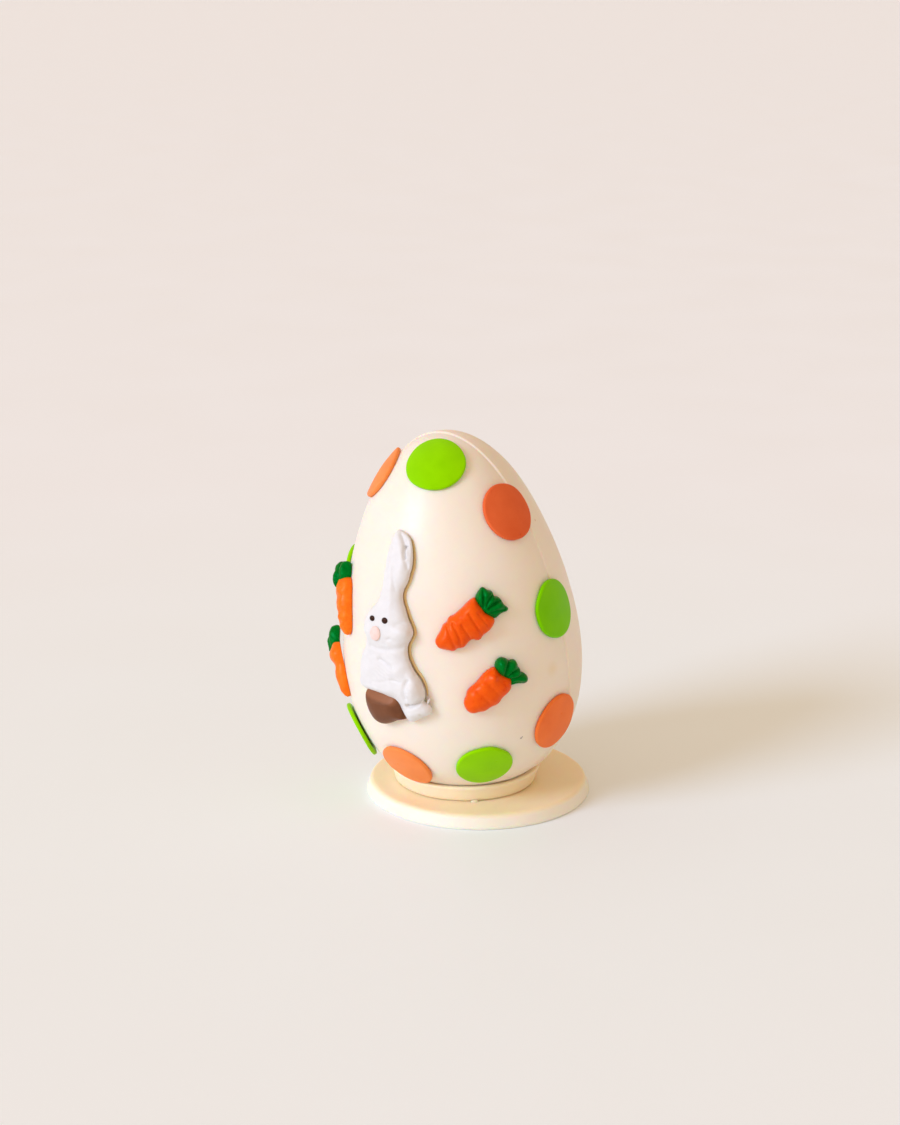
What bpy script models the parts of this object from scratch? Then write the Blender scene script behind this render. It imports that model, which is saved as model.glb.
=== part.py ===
"""A white chocolate Easter egg standing in a dished seat on a round base.

The egg is turned from one outline, with the raised seam where its two halves meet, and a flat foot. Discs,
carrots and a rabbit lie on its front half. Each of them is made flat, as distances east, north and out of the
shell, and is then laid over the egg's curve. Metres, +Z up. The rabbit faces -Y, and the origin is under the
middle of the base.
"""

import math

import bmesh
import bpy
import numpy as np
from mathutils import Matrix, Vector

MM = 0.001
GAP = 0.3 * MM

# Base and seat
BASE_RADIUS = 62 * MM
BASE_HEIGHT = 8 * MM
BASE_DRAFT = 2 * MM
BASE_EDGE = 2.5 * MM
BASE_SEGMENTS = 48
SEAT_CENTRE = Vector((-5.1, -5.4, 0)) * MM
SEAT_RADIUS = 39 * MM
SEAT_FLARE = 2.3 * MM
SEAT_HEIGHT = 8.7 * MM
SEAT_EDGE = 1.0 * MM
SEAT_FLOOR = 1.2 * MM
SEAT_SEGMENTS = 48

# Egg: at latitude t its outline is LENGTH / 2 * sin(t) high and
# WIDTH / 2 * cos(t) * (1 + TAPER * sin(t) + FULLNESS * sin(t)^2) from its axis
EGG_LENGTH = 200.2 * MM
EGG_WIDTH = 125.5 * MM
EGG_TAPER = -0.244
EGG_FULLNESS = 0.108
EGG_MIDDLE = Vector((-7.0, -9.8, 105.8)) * MM
EGG_LEAN_FRONT = math.radians(5.7)
EGG_LEAN_SIDE = math.radians(-2.9)
EGG_ROWS = 26
EGG_SEGMENTS = 52
SEAM_BEARING = 90.0
SEAM_HALF_WIDTH = 0.7 * MM
SEAM_HEIGHT = 0.45 * MM
SEAM_ROOT = 1.5 * MM
SEAM_LOWEST = -55.0

# Discs: latitude and bearing of the middle in degrees, radius and how far the rim stands off in millimetres,
# and colour
DISC_THICKNESS = 2.0 * MM
DISC_EDGE = 0.7 * MM
DISC_SEGMENTS = 20
DISCS = {
    "disc_green_top": (64.2, 19.5, 15.4, 0.0, "green"),
    "disc_orange_right_high": (38.8, 75.0, 16.3, 0.0, "orange"),
    "disc_green_right": (4.8, 85.7, 14.8, 0.0, "green"),
    "disc_orange_right_low": (-32.2, 78.8, 16.3, 0.0, "orange"),
    "disc_green_low": (-43.2, 37.3, 14.5, 0.0, "green"),
    "disc_orange_low": (-44.7, -9.3, 15.8, 0.0, "orange"),
    "disc_green_left_low": (-38.0, -50.0, 15.5, 1.5, "green"),
    "disc_orange_left": (-12.0, -87.0, 16.0, 0.0, "orange"),
    "disc_green_left_high": (11.5, -74.0, 15.0, 0.0, "green"),
    "disc_orange_left_high": (53.5, -60.5, 15.6, 0.0, "orange"),
}

# Carrots: latitude and bearing of the neck and of the tip in degrees, width and height in millimetres, then
# the leaves' size, their turn in degrees, and how much higher they are at their ends than at the neck
CARROT_NECK = 0.03
CARROT_WRINKLE = 0.07
CARROT_ROWS = 14
CARROT_COLUMNS = 8
LEAF_VOXEL = 1.8 * MM
CARROTS = {
    "carrot_right_high": (11.6, 44.6, 2.6, 19.5, 20.0, 7.0, 1.0, -4, 0.3),
    "carrot_right_low": (-9.2, 49.0, -18.0, 30.4, 17.0, 7.0, 0.95, -17, 0.3),
    "carrot_left_high": (15.5, -47.0, 1.0, -34.0, 17.0, 6.5, 0.75, 0, 1.3),
    "carrot_left_low": (-8.0, -55.0, -22.0, -43.0, 14.0, 6.5, 0.85, 0, 1.4),
}
# Leaf lobes: where they start across the neck, angle from the carrot's axis, length and half width
LEAF_LOBES = (
    (-5.6, 20, 8.0, 3.0),
    (-2.4, 4, 9.5, 2.8),
    (1.0, -12, 10.5, 2.8),
    (3.6, -32, 10.5, 2.8),
    (5.4, -60, 5.5, 2.6),
)
LEAF_HEIGHT = 4.2 * MM
LEAF_ROOT = 1.5

# Rabbit: places and half sizes in millimetres from the point where its middle line crosses the egg's middle
RABBIT_BEARING = -5.0
RABBIT_VOXEL = 2.3 * MM
SOFTEN_STEPS = 2
SOFTEN_GROWTH = 0.3 * MM
# Each form: east, north, height of its middle, half width, half length, half height, turn in degrees
RABBIT_FORMS = (
    (2.9, 45.5, 0.5, 6.0, 20.0, 5.2, 3),
    (8.6, 47.0, 0.2, 3.6, 12.5, 3.8, 3),
    (2.6, 27.0, 0.5, 7.4, 11.5, 5.8, 4),
    (-0.5, 13.5, 0.5, 12.8, 12.8, 7.2, 0),
    (9.4, 9.0, 0.5, 5.8, 5.4, 5.8, -15),
    (-9.2, 9.0, 0.5, 5.8, 5.4, 5.8, 15),
    (-1.0, -3.5, 0.0, 13.2, 13.0, 6.8, 0),
    (0.0, -14.0, 0.0, 17.6, 10.2, 6.2, 0),
    (13.4, -19.0, 0.0, 7.8, 9.0, 6.8, 18),
    (-13.2, -18.6, 0.0, 7.4, 7.4, 6.2, -18),
    (15.2, -30.5, 0.0, 7.4, 6.2, 5.6, 8),
)
# The egg in its lap, its nose and its eyes: the same seven values
LAP_EGG = (-5.0, -31.0, 0.0, 13.2, 10.0, 8.0, -8)
FORM_SEGMENTS = 18
FORM_ROWS = 10
BEAD_SEGMENTS = 10
BEAD_ROWS = 6
NOSE = (-3.2, 8.6, 7.2, 3.2, 3.0, 1.6, 0)
EYES = {
    "rabbit_eye_left": (-6.0, 16.6, 6.2, 1.5, 1.6, 1.2, 0),
    "rabbit_eye_right": (1.6, 16.2, 7.1, 1.7, 1.6, 1.2, 0),
}

COLOURS = {
    "cream": (0.87, 0.74, 0.54, 0.42),
    "green": (0.22, 0.56, 0.01, 0.5),
    "orange": (0.78, 0.18, 0.07, 0.5),
    "carrot": (0.80, 0.13, 0.01, 0.45),
    "leaf": (0.01, 0.17, 0.04, 0.4),
    "white": (0.86, 0.86, 0.88, 0.5),
    "milk": (0.16, 0.07, 0.04, 0.4),
    "dark": (0.03, 0.015, 0.01, 0.35),
    "pink": (0.86, 0.62, 0.55, 0.5),
}


def clear_scene():
    for obj in list(bpy.data.objects):
        bpy.data.objects.remove(obj)


def material(name):
    """The Principled material of this colour, made once."""
    found = bpy.data.materials.get(name)
    if found:
        return found
    made = bpy.data.materials.new(name)
    made.use_nodes = True
    shader = made.node_tree.nodes["Principled BSDF"]
    *colour, roughness = COLOURS[name]
    shader.inputs["Base Color"].default_value = (*colour, 1.0)
    shader.inputs["Roughness"].default_value = roughness
    shader.inputs["Metallic"].default_value = 0.0
    made.diffuse_color = (*colour, 1.0)
    return made


def object_from(name, points, faces, colour=None):
    """A smooth-shaded object from points and faces, linked to the scene."""
    mesh = bpy.data.meshes.new(name)
    mesh.from_pydata([tuple(p) for p in points], [], faces)
    mesh.shade_smooth()
    mesh.set_sharp_from_angle(angle=math.radians(40))
    if colour:
        mesh.materials.append(material(colour))
    obj = bpy.data.objects.new(name, mesh)
    bpy.context.scene.collection.objects.link(obj)
    return obj


def arrays_of(obj):
    """Points and faces of an object as its modifiers leave it, in its own frame."""
    evaluated = obj.evaluated_get(bpy.context.evaluated_depsgraph_get())
    mesh = evaluated.to_mesh()
    points = np.array([v.co for v in mesh.vertices])
    faces = [tuple(p.vertices) for p in mesh.polygons]
    evaluated.to_mesh_clear()
    return points, faces


def helper(obj):
    """Marks an object as a shape that only cuts or joins another."""
    obj.hide_render = True
    obj.display_type = "WIRE"
    return obj


def boolean(obj, other, operation):
    step = obj.modifiers.new(f"{operation.lower()} {other.name}", "BOOLEAN")
    step.operation = operation
    step.object = other
    step.solver = "EXACT"


def turned(outline, segments):
    """Points and faces of an outline of (radius, height) turned about Z, which goes up from axis to axis."""
    turns = np.arange(segments) * 2 * math.pi / segments
    points = [(0.0, 0.0, outline[0][1])]
    for radius, height in outline[1:-1]:
        points += [(radius * math.sin(t), -radius * math.cos(t), height) for t in turns]
    points.append((0.0, 0.0, outline[-1][1]))
    rings = len(outline) - 2
    faces = []
    for i in range(segments):
        j = (i + 1) % segments
        faces.append((0, 1 + j, 1 + i))
        for k in range(rings - 1):
            low, high = 1 + k * segments, 1 + (k + 1) * segments
            faces.append((low + i, low + j, high + j, high + i))
        top = 1 + (rings - 1) * segments
        faces.append((top + i, top + j, len(points) - 1))
    return np.array(points), faces


def rounded(radius, height, edge, steps=3):
    """The upper edge of a turned piece, as (radius, height) pairs on a quarter circle."""
    angles = [math.pi / 2 * k / steps for k in range(steps + 1)]
    return [(radius - edge + edge * math.cos(a), height - edge + edge * math.sin(a)) for a in angles]


def girth(latitude):
    """The egg's radius at a latitude in radians."""
    s = np.sin(latitude)
    return EGG_WIDTH / 2 * np.cos(latitude) * (1 + EGG_TAPER * s + EGG_FULLNESS * s * s)


def outward(latitude):
    """The two parts of the egg's outward normal at a latitude: away from its axis, and up it."""
    s, c = np.sin(latitude), np.cos(latitude)
    swell = 1 + EGG_TAPER * s + EGG_FULLNESS * s * s
    run = EGG_WIDTH / 2 * (-s * swell + c * (EGG_TAPER + 2 * EGG_FULLNESS * s) * c)
    rise = EGG_LENGTH / 2 * c
    length = np.hypot(run, rise)
    return rise / length, -run / length


def shell_points(latitude, bearing, lift):
    """Points at these latitudes and bearings, lifted along the shell's normal, in the egg's own frame."""
    away, up = outward(latitude)
    radius = girth(latitude) + lift * away
    height = EGG_LENGTH / 2 * np.sin(latitude) + lift * up
    return np.stack([radius * np.sin(bearing), -radius * np.cos(bearing), height], -1)


# The distance along the outline, from the foot up, at each of many latitudes
LATITUDES = np.radians(np.linspace(-89.9, 89.9, 1799))
STEPS = np.hypot(np.diff(girth(LATITUDES)), np.diff(EGG_LENGTH / 2 * np.sin(LATITUDES)))
ALONG = np.concatenate([[0], np.cumsum(STEPS)])


def nearest_latitude(radius, height):
    """The latitude of the shell point nearest to each (radius, height), by sliding along the outline."""
    latitude = np.arctan2(height / EGG_LENGTH, radius / EGG_WIDTH)
    for _ in range(12):
        away, up = outward(latitude)
        off_radius = radius - girth(latitude)
        off_height = height - EGG_LENGTH / 2 * np.sin(latitude)
        along = -up * off_radius + away * off_height
        latitude = np.clip(latitude + along / (EGG_LENGTH / 2), -math.pi / 2, math.pi / 2)
    return latitude


def laid_on_shell(points, latitude_deg, bearing_deg, turn_deg=0.0):
    """Flat points (east, north, out) turned in their own plane, then laid over the shell round a place."""
    turn = math.radians(turn_deg)
    east = points[:, 0] * math.cos(turn) - points[:, 1] * math.sin(turn)
    north = points[:, 0] * math.sin(turn) + points[:, 1] * math.cos(turn)
    start = np.interp(math.radians(latitude_deg), LATITUDES, ALONG)
    latitude = np.interp(start + north, ALONG, LATITUDES)
    bearing = np.full(len(points), math.radians(bearing_deg))
    under = shell_points(latitude, bearing, 0.0)
    under += east[:, None] * np.stack([np.cos(bearing), np.sin(bearing), 0 * bearing], -1)
    latitude = nearest_latitude(np.hypot(under[:, 0], under[:, 1]), under[:, 2])
    bearing = np.arctan2(under[:, 0], -under[:, 1])
    return shell_points(latitude, bearing, points[:, 2])


def egg_pose():
    """An empty at the egg's middle, leaning as the egg leans. What is on the egg is parented to it."""
    pose = bpy.data.objects.new("egg_pose", None)
    bpy.context.scene.collection.objects.link(pose)
    pose.location = EGG_MIDDLE
    pose.rotation_euler = (EGG_LEAN_FRONT, EGG_LEAN_SIDE, 0.0)
    return pose


def lean():
    """The egg's rotation: over its side first, and then forward."""
    return Matrix.Rotation(EGG_LEAN_FRONT, 3, "X") @ Matrix.Rotation(EGG_LEAN_SIDE, 3, "Y")


def egg_solid(name, lift, foot_level, colour=None):
    """The turned egg, grown by lift and cut flat at a level above the floor, in the egg's own frame."""
    rows = np.radians(np.linspace(-90, 90, EGG_ROWS + 1))
    away, up = outward(rows)
    radii = girth(rows) + lift * away
    heights = EGG_LENGTH / 2 * np.sin(rows) + lift * up
    obj = object_from(name, *turned(list(zip(radii, heights)), EGG_SEGMENTS), colour)
    to_egg = lean().transposed()
    point = to_egg @ (Vector((0, 0, foot_level)) - EGG_MIDDLE)
    normal = to_egg @ Vector((0, 0, 1))
    shape = bmesh.new()
    shape.from_mesh(obj.data)
    everything = shape.verts[:] + shape.edges[:] + shape.faces[:]
    cut = bmesh.ops.bisect_plane(shape, geom=everything, plane_co=point, plane_no=normal, clear_inner=True)
    bmesh.ops.contextual_create(shape, geom=[e for e in cut["geom_cut"] if isinstance(e, bmesh.types.BMEdge)])
    bmesh.ops.recalc_face_normals(shape, faces=shape.faces)
    shape.to_mesh(obj.data)
    shape.free()
    return obj


def seam_band(name, half_width, height):
    """A rounded band that stands on the shell all along the seam, rooted inside it."""
    step = 180 / EGG_ROWS
    first = math.ceil((SEAM_LOWEST + 90) / step)
    climb = [(math.radians(-90 + k * step), math.radians(SEAM_BEARING)) for k in range(first, EGG_ROWS)]
    descent = [(latitude, -bearing) for latitude, bearing in reversed(climb)]
    path = climb + [(math.radians(90), math.radians(SEAM_BEARING))] + descent
    shoulder = 0.65 * height
    section = ((-1.0, -SEAM_ROOT), (-0.75, shoulder), (0.0, height), (0.75, shoulder), (1.0, -SEAM_ROOT))
    points = []
    for latitude, bearing in path:
        for across, lift in section:
            point = shell_points(np.array(latitude), np.array(bearing), lift)
            points.append(point + np.array([0.0, across * half_width, 0.0]))
    count = len(section)
    faces = [tuple(range(count)), tuple(reversed(range(len(points) - count, len(points))))]
    for k in range(len(path) - 1):
        for i in range(count):
            j = (i + 1) % count
            faces.append((k * count + i, (k + 1) * count + i, (k + 1) * count + j, k * count + j))
    obj = object_from(name, points, faces)
    shape = bmesh.new()
    shape.from_mesh(obj.data)
    bmesh.ops.recalc_face_normals(shape, faces=shape.faces)
    shape.to_mesh(obj.data)
    shape.free()
    return helper(obj)


def make_base():
    outline = [(0.0, 0.0), (BASE_RADIUS - BASE_EDGE / 2, 0.0), (BASE_RADIUS, BASE_EDGE / 2)]
    outline += rounded(BASE_RADIUS - BASE_DRAFT, BASE_HEIGHT, BASE_EDGE)
    outline.append((0.0, BASE_HEIGHT))
    return object_from("base", *turned(outline, BASE_SEGMENTS), "cream")


def make_seat(pose):
    """A thick round slab on the base, dished to take the egg's foot."""
    outline = [(0.0, 0.0), (SEAT_RADIUS, 0.0)]
    outline += rounded(SEAT_RADIUS + SEAT_FLARE, SEAT_HEIGHT, SEAT_EDGE)
    outline.append((0.0, SEAT_HEIGHT))
    seat = object_from("seat", *turned(outline, SEAT_SEGMENTS), "cream")
    seat.location = SEAT_CENTRE + Vector((0, 0, BASE_HEIGHT + GAP))
    dish = helper(egg_solid("seat_dish", GAP, seat.location.z + SEAT_FLOOR))
    dish.parent = pose
    boolean(seat, dish, "DIFFERENCE")
    return seat


def make_egg(pose):
    foot_level = BASE_HEIGHT + 2 * GAP + SEAT_FLOOR
    egg = egg_solid("egg", 0.0, foot_level, "cream")
    egg.parent = pose
    band = seam_band("seam_band", SEAM_HALF_WIDTH, SEAM_HEIGHT)
    band.parent = pose
    boolean(egg, band, "UNION")
    return egg


def make_disc(name, pose, seam_room):
    """A flat round disc laid over the shell, grooved underneath where it crosses the seam."""
    latitude, bearing, radius_mm, rim_mm, colour = DISCS[name]
    radius = radius_mm * MM
    top = GAP + DISC_THICKNESS
    outline = [(0.0, GAP), (radius * 0.55, GAP), (radius, GAP)]
    outline += [(radius, top - DISC_EDGE), (radius - DISC_EDGE, top), (radius * 0.55, top), (0.0, top)]
    points, faces = turned(outline, DISC_SEGMENTS)
    points[:, 2] += rim_mm * MM * (points[:, 0] ** 2 + points[:, 1] ** 2) / radius**2
    disc = object_from(name, laid_on_shell(points, latitude, bearing), faces, colour)
    disc.parent = pose
    to_seam = math.radians(SEAM_BEARING - abs(bearing)) * girth(math.radians(latitude))
    if to_seam < radius + SEAM_HALF_WIDTH:
        boolean(disc, seam_room, "DIFFERENCE")
    return disc


def carrot_place(name):
    """The neck's latitude and bearing, and the carrot's length and heading from neck to tip."""
    neck_latitude, neck_bearing, tip_latitude, tip_bearing = CARROTS[name][:4]
    along = np.interp(np.radians([neck_latitude, tip_latitude]), LATITUDES, ALONG)
    north = along[1] - along[0]
    middle = math.radians((neck_latitude + tip_latitude) / 2)
    east = math.radians(tip_bearing - neck_bearing) * girth(middle)
    return neck_latitude, neck_bearing, math.hypot(east, north), math.degrees(math.atan2(north, east))


def root_form(name, length, grow=0.0):
    """Points and faces of a root in the flat: neck first, tapered, wrinkled across and flat underneath."""
    half_width, height = CARROTS[name][4] * MM / 2 + grow, CARROTS[name][5] * MM + grow
    floor = GAP - grow
    angles = [math.pi * k / CARROT_COLUMNS for k in range(CARROT_COLUMNS + 1)]
    under = [1 - 2 * k / 4 for k in range(1, 4)]
    points = [(-grow, 0.0, floor + 0.3 * height)]
    for k in range(CARROT_ROWS):
        s = k / CARROT_ROWS
        ends = (1 - abs(2 * (CARROT_NECK + (1 - CARROT_NECK) * s) - 1) ** 5) ** 0.5
        wrinkle = 1 + CARROT_WRINKLE * math.sin(2 * math.pi * 4.5 * s)
        size = ends * (1 - 0.42 * s**1.4) * wrinkle
        across, rise, along = half_width * size, height * size**0.7, s * (length + 2 * grow) - grow
        points += [(along, across * math.cos(a), floor + rise * math.sin(a) ** 0.8) for a in angles]
        points += [(along, -across * u, floor) for u in under]
    points.append((length + grow, 0.0, floor + 0.3 * height))
    count = len(angles) + len(under)
    faces = []
    for i in range(count):
        j = (i + 1) % count
        faces.append((0, 1 + i, 1 + j))
        for k in range(CARROT_ROWS - 1):
            low, high = 1 + k * count, 1 + (k + 1) * count
            faces.append((low + i, high + i, high + j, low + j))
        faces.append((1 + (CARROT_ROWS - 1) * count + j, 1 + (CARROT_ROWS - 1) * count + i, len(points) - 1))
    return np.array(points), faces


def make_root(name, pose):
    latitude, bearing, length, heading = carrot_place(name)
    points, faces = root_form(name, length)
    root = object_from(f"{name}_root", laid_on_shell(points, latitude, bearing, heading), faces, "carrot")
    fix_normals(root)
    root.parent = pose
    return root


def fix_normals(obj):
    shape = bmesh.new()
    shape.from_mesh(obj.data)
    bmesh.ops.recalc_face_normals(shape, faces=shape.faces)
    shape.to_mesh(obj.data)
    shape.free()


def form(values, grow=0.0, segments=FORM_SEGMENTS, rows=FORM_ROWS):
    """Points and faces of one rounded form in the flat: an ellipsoid turned about the outward direction."""
    east, north, out, half_width, half_length, half_height, turn = values
    climb = [-math.pi / 2 + math.pi * k / rows for k in range(rows + 1)]
    outline = [(math.cos(a), math.sin(a)) for a in climb]
    points, faces = turned(outline, segments)
    points *= np.array([half_width, half_length, half_height]) * MM + grow
    c, s = math.cos(math.radians(turn)), math.sin(math.radians(turn))
    points = points @ np.array([[c, s, 0], [-s, c, 0], [0, 0, 1]])
    return points + np.array([east, north, out]) * MM, faces


def fused(name, forms, voxel):
    """Forms joined into one closed skin with soft valleys between them, and a flat underside at the gap."""
    shape = bmesh.new()
    for points, faces in forms:
        verts = [shape.verts.new(p) for p in points]
        for face in faces:
            shape.faces.new([verts[i] for i in face])
    everything = shape.verts[:] + shape.edges[:] + shape.faces[:]
    floor = {"plane_co": (0, 0, 0), "plane_no": (0, 0, 1)}
    cut = bmesh.ops.bisect_plane(shape, geom=everything, clear_inner=True, **floor)
    bmesh.ops.edgeloop_fill(shape, edges=[e for e in cut["geom_cut"] if isinstance(e, bmesh.types.BMEdge)])
    bmesh.ops.recalc_face_normals(shape, faces=shape.faces)
    mesh = bpy.data.meshes.new(name)
    shape.to_mesh(mesh)
    shape.free()
    obj = bpy.data.objects.new(name, mesh)
    bpy.context.scene.collection.objects.link(obj)
    remesh = obj.modifiers.new("fuse", "REMESH")
    remesh.mode = "VOXEL"
    remesh.voxel_size = voxel
    soften = obj.modifiers.new("soften", "SMOOTH")
    soften.factor = 0.5
    soften.iterations = SOFTEN_STEPS
    points, faces = arrays_of(obj)
    bpy.data.objects.remove(obj)
    points[:, 2] += GAP - points[:, 2].min()
    return points, faces


def make_leaves(name, pose):
    """A fan of leaf lobes that start all along the carrot's neck, cut to the neck's shape."""
    latitude, bearing, length, heading = carrot_place(name)
    size, turned_by, rise = CARROTS[name][6:]
    turn = math.radians(turned_by)
    forms = []
    for start, angle, reach, half_width in LEAF_LOBES:
        heading_out = math.radians(angle + turned_by)
        middle = size * reach / 2 - LEAF_ROOT
        east = -math.cos(heading_out) * middle + math.sin(turn) * start * size
        north = -math.sin(heading_out) * middle + math.cos(turn) * start * size
        out, half_height = LEAF_HEIGHT / MM * 0.3, LEAF_HEIGHT / MM * 0.7
        half_length = size * reach / 2 + LEAF_ROOT
        values = (east, north, out, half_length, size * half_width, half_height, angle + turned_by)
        forms.append(form(values, SOFTEN_GROWTH))
    fan = object_from(f"{name}_fan", *fused(f"{name}_leaves", forms, LEAF_VOXEL))
    room = helper(object_from(f"{name}_room", *root_form(name, length, GAP)))
    fix_normals(room)
    boolean(fan, room, "DIFFERENCE")
    points, faces = arrays_of(fan)
    bpy.data.objects.remove(fan)
    outermost = -points[:, 0].min()
    points[:, 2] = GAP + (points[:, 2] - GAP) * (1 + rise * np.clip(-points[:, 0] / outermost, 0, 1))
    leaves = object_from(f"{name}_leaves", laid_on_shell(points, latitude, bearing, heading), faces, "leaf")
    leaves.parent = pose
    return leaves


def make_rabbit(pose):
    """The sitting rabbit, with room in it for the egg in its lap, its nose and its eyes."""
    points, faces = fused("rabbit", [form(values, SOFTEN_GROWTH) for values in RABBIT_FORMS], RABBIT_VOXEL)
    rabbit = object_from("rabbit", points, faces, "white")
    for number, values in enumerate([LAP_EGG, NOSE, *EYES.values()]):
        room = helper(object_from(f"rabbit_room_{number}", *form(values, GAP)))
        boolean(rabbit, room, "DIFFERENCE")
    points, faces = arrays_of(rabbit)
    bpy.data.objects.remove(rabbit)
    rabbit = object_from("rabbit", laid_on_shell(points, 0.0, RABBIT_BEARING), faces, "white")
    rabbit.parent = pose
    return rabbit


def make_bead(name, values, colour, pose, segments=BEAD_SEGMENTS, rows=BEAD_ROWS):
    """One rounded form laid on the shell by itself, no lower than the gap."""
    points, faces = form(values, 0.0, segments, rows)
    points[:, 2] = np.maximum(points[:, 2], GAP)
    bead = object_from(name, laid_on_shell(points, 0.0, RABBIT_BEARING), faces, colour)
    bead.parent = pose
    return bead


def main():
    clear_scene()
    make_base()
    pose = egg_pose()
    make_seat(pose)
    make_egg(pose)
    seam_room = seam_band("seam_room", SEAM_HALF_WIDTH + GAP, SEAM_HEIGHT + GAP)
    seam_room.parent = pose
    for name in DISCS:
        make_disc(name, pose, seam_room)
    for name in CARROTS:
        make_root(name, pose)
        make_leaves(name, pose)
    make_rabbit(pose)
    make_bead("rabbit_lap_egg", LAP_EGG, "milk", pose, FORM_SEGMENTS, FORM_ROWS)
    make_bead("rabbit_nose", NOSE, "pink", pose)
    for name, values in EYES.items():
        make_bead(name, values, "dark", pose)


main()
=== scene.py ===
"""The looks of the decorated white chocolate egg: a fine mesh and a finish for every piece, a floor, lights
and a camera.

Each decoration is made flat, as distances east, north and out of the shell, and laid over the egg's curve.
"""

import math

import bmesh
import bpy
import numpy as np
from mathutils import Matrix, Vector, noise


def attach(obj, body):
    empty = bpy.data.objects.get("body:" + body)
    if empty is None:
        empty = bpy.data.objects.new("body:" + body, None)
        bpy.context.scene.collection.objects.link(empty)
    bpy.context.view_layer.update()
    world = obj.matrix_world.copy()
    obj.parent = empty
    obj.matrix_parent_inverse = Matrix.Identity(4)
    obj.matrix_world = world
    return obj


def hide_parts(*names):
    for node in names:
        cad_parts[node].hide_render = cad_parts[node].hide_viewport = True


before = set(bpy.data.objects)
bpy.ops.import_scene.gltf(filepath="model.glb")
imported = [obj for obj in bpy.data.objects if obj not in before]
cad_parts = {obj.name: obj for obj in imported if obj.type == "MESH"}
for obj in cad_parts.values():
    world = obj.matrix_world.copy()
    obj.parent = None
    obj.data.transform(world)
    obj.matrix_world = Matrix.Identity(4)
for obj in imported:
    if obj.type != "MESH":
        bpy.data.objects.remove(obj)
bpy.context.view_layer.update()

MM = 0.001
GAP = 0.3 * MM

# Base and seat
BASE_RADIUS = 62 * MM
BASE_HEIGHT = 8 * MM
BASE_DRAFT = 1.6 * MM
BASE_EDGE = 2.8 * MM
BASE_RINGS = 24
# The base's lower edge: distance out from its radius, and height, in millimetres
BASE_FOOT = ((-0.8, 0.0), (-0.2, 0.4), (0.0, 1.2), (-0.2, 2.4))
# Unevenness, here and below: the size of its lumps, how high they are, and where its noise starts
BASE_TOP_LUMPS = (16 * MM, 0.35 * MM, 5)
BASE_RIM_LUMPS = (40 * MM, 0.006, 6)
SEAT_CENTRE = Vector((-5.1, -5.4, 0)) * MM
SEAT_RADIUS = 39 * MM
SEAT_FLARE = 2.3 * MM
SEAT_HEIGHT = 8.7 * MM
SEAT_EDGE = 1.2 * MM
SEAT_FLOOR = 1.2 * MM
SEAT_RIM_LUMPS = (12 * MM, 0.008, 8)
ROUND_SEGMENTS = 192
# The blob of glue at the seat's foot: its bearing, then half its width, length and height in millimetres
SEAT_BLOB = (math.radians(37), 2.2, 1.0, 1.0)

# Egg
EGG_LENGTH = 200.2 * MM
EGG_WIDTH = 125.5 * MM
EGG_TAPER = -0.244
EGG_FULLNESS = 0.108
EGG_MIDDLE = Vector((-7.0, -9.8, 105.8)) * MM
EGG_LEAN_FRONT = math.radians(5.7)
EGG_LEAN_SIDE = math.radians(-2.9)
FOOT_LEVEL = BASE_HEIGHT + 2 * GAP + SEAT_FLOOR
# The seam: the width of its step, and how deep and wide the dip before it and the lip behind it are
SEAM_STEP_WIDTH = 1.3 * MM
SEAM_DIP = 0.5 * MM
SEAM_DIP_WIDTH = 5.5 * MM
SEAM_LIP = 0.4 * MM
SEAM_LIP_WIDTH = 3.2 * MM
SHELL_LUMPS = (34 * MM, 0.35 * MM, 3)
# Rows of the egg's mesh on either side of the seam, as angles: the finest step and how far it is kept, how
# the step then grows, its largest size, and where the rows end
ROW_STEP = math.radians(0.14)
ROW_FINE = math.radians(1.2)
ROW_GROWTH = 1.25
ROW_LARGEST = math.radians(2.0)
ROW_END = math.radians(89.0)
EGG_COLUMNS = 320
DISH_COLUMNS = 160

# Discs: latitude and bearing of the middle in degrees, radius and how far the rim stands off in millimetres,
# and colour. The lit and shaded colours are copies of one paste, painted lighter where light falls and darker
# in shade
DISC_THICKNESS = 2.2 * MM
DISC_EDGE = 1.1 * MM
DISC_SEGMENTS = 144
DISC_RINGS = 40
DISCS = {
    "disc_green_top": (64.2, 20.5, 15.6, 0.0, "green"),
    "disc_orange_right_high": (38.9, 75.8, 15.5, 0.0, "orange_shaded"),
    "disc_green_right": (5.0, 85.7, 15.6, 0.0, "green_shaded"),
    "disc_orange_right_low": (-32.0, 78.8, 15.6, 0.0, "orange"),
    "disc_green_low": (-43.2, 37.3, 14.5, 0.0, "green"),
    "disc_orange_low": (-45.1, -9.3, 15.1, 0.0, "orange_lit"),
    "disc_green_left_low": (-37.6, -50.5, 15.5, 1.3, "green"),
    "disc_orange_left": (-12.0, -87.0, 16.0, 0.0, "orange"),
    "disc_green_left_high": (12.5, -74.0, 15.6, 0.0, "green"),
    "disc_orange_left_high": (53.5, -63.5, 15.2, 0.0, "orange_lit"),
}
# Where a disc was cut a little flat, or bulges where the depth is below zero: direction in degrees from east,
# how deep in millimetres, how wide
DISC_FLATS = {
    "disc_green_right": ((135, 1.1, 26), (35, 0.6, 30), (180, 0.5, 22), (0, 0.4, 22)),
    "disc_green_low": ((100, 0.6, 26), (50, 0.3, 20), (0, -0.8, 40), (180, -0.8, 40)),
    "disc_orange_right_low": ((140, 0.5, 30),),
    "disc_orange_right_high": ((75, 0.4, 24),),
    "disc_green_top": ((250, 0.3, 26), (0, -1.1, 40), (180, -1.1, 40)),
    "disc_orange_low": ((60, 0.4, 30),),
}
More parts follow.
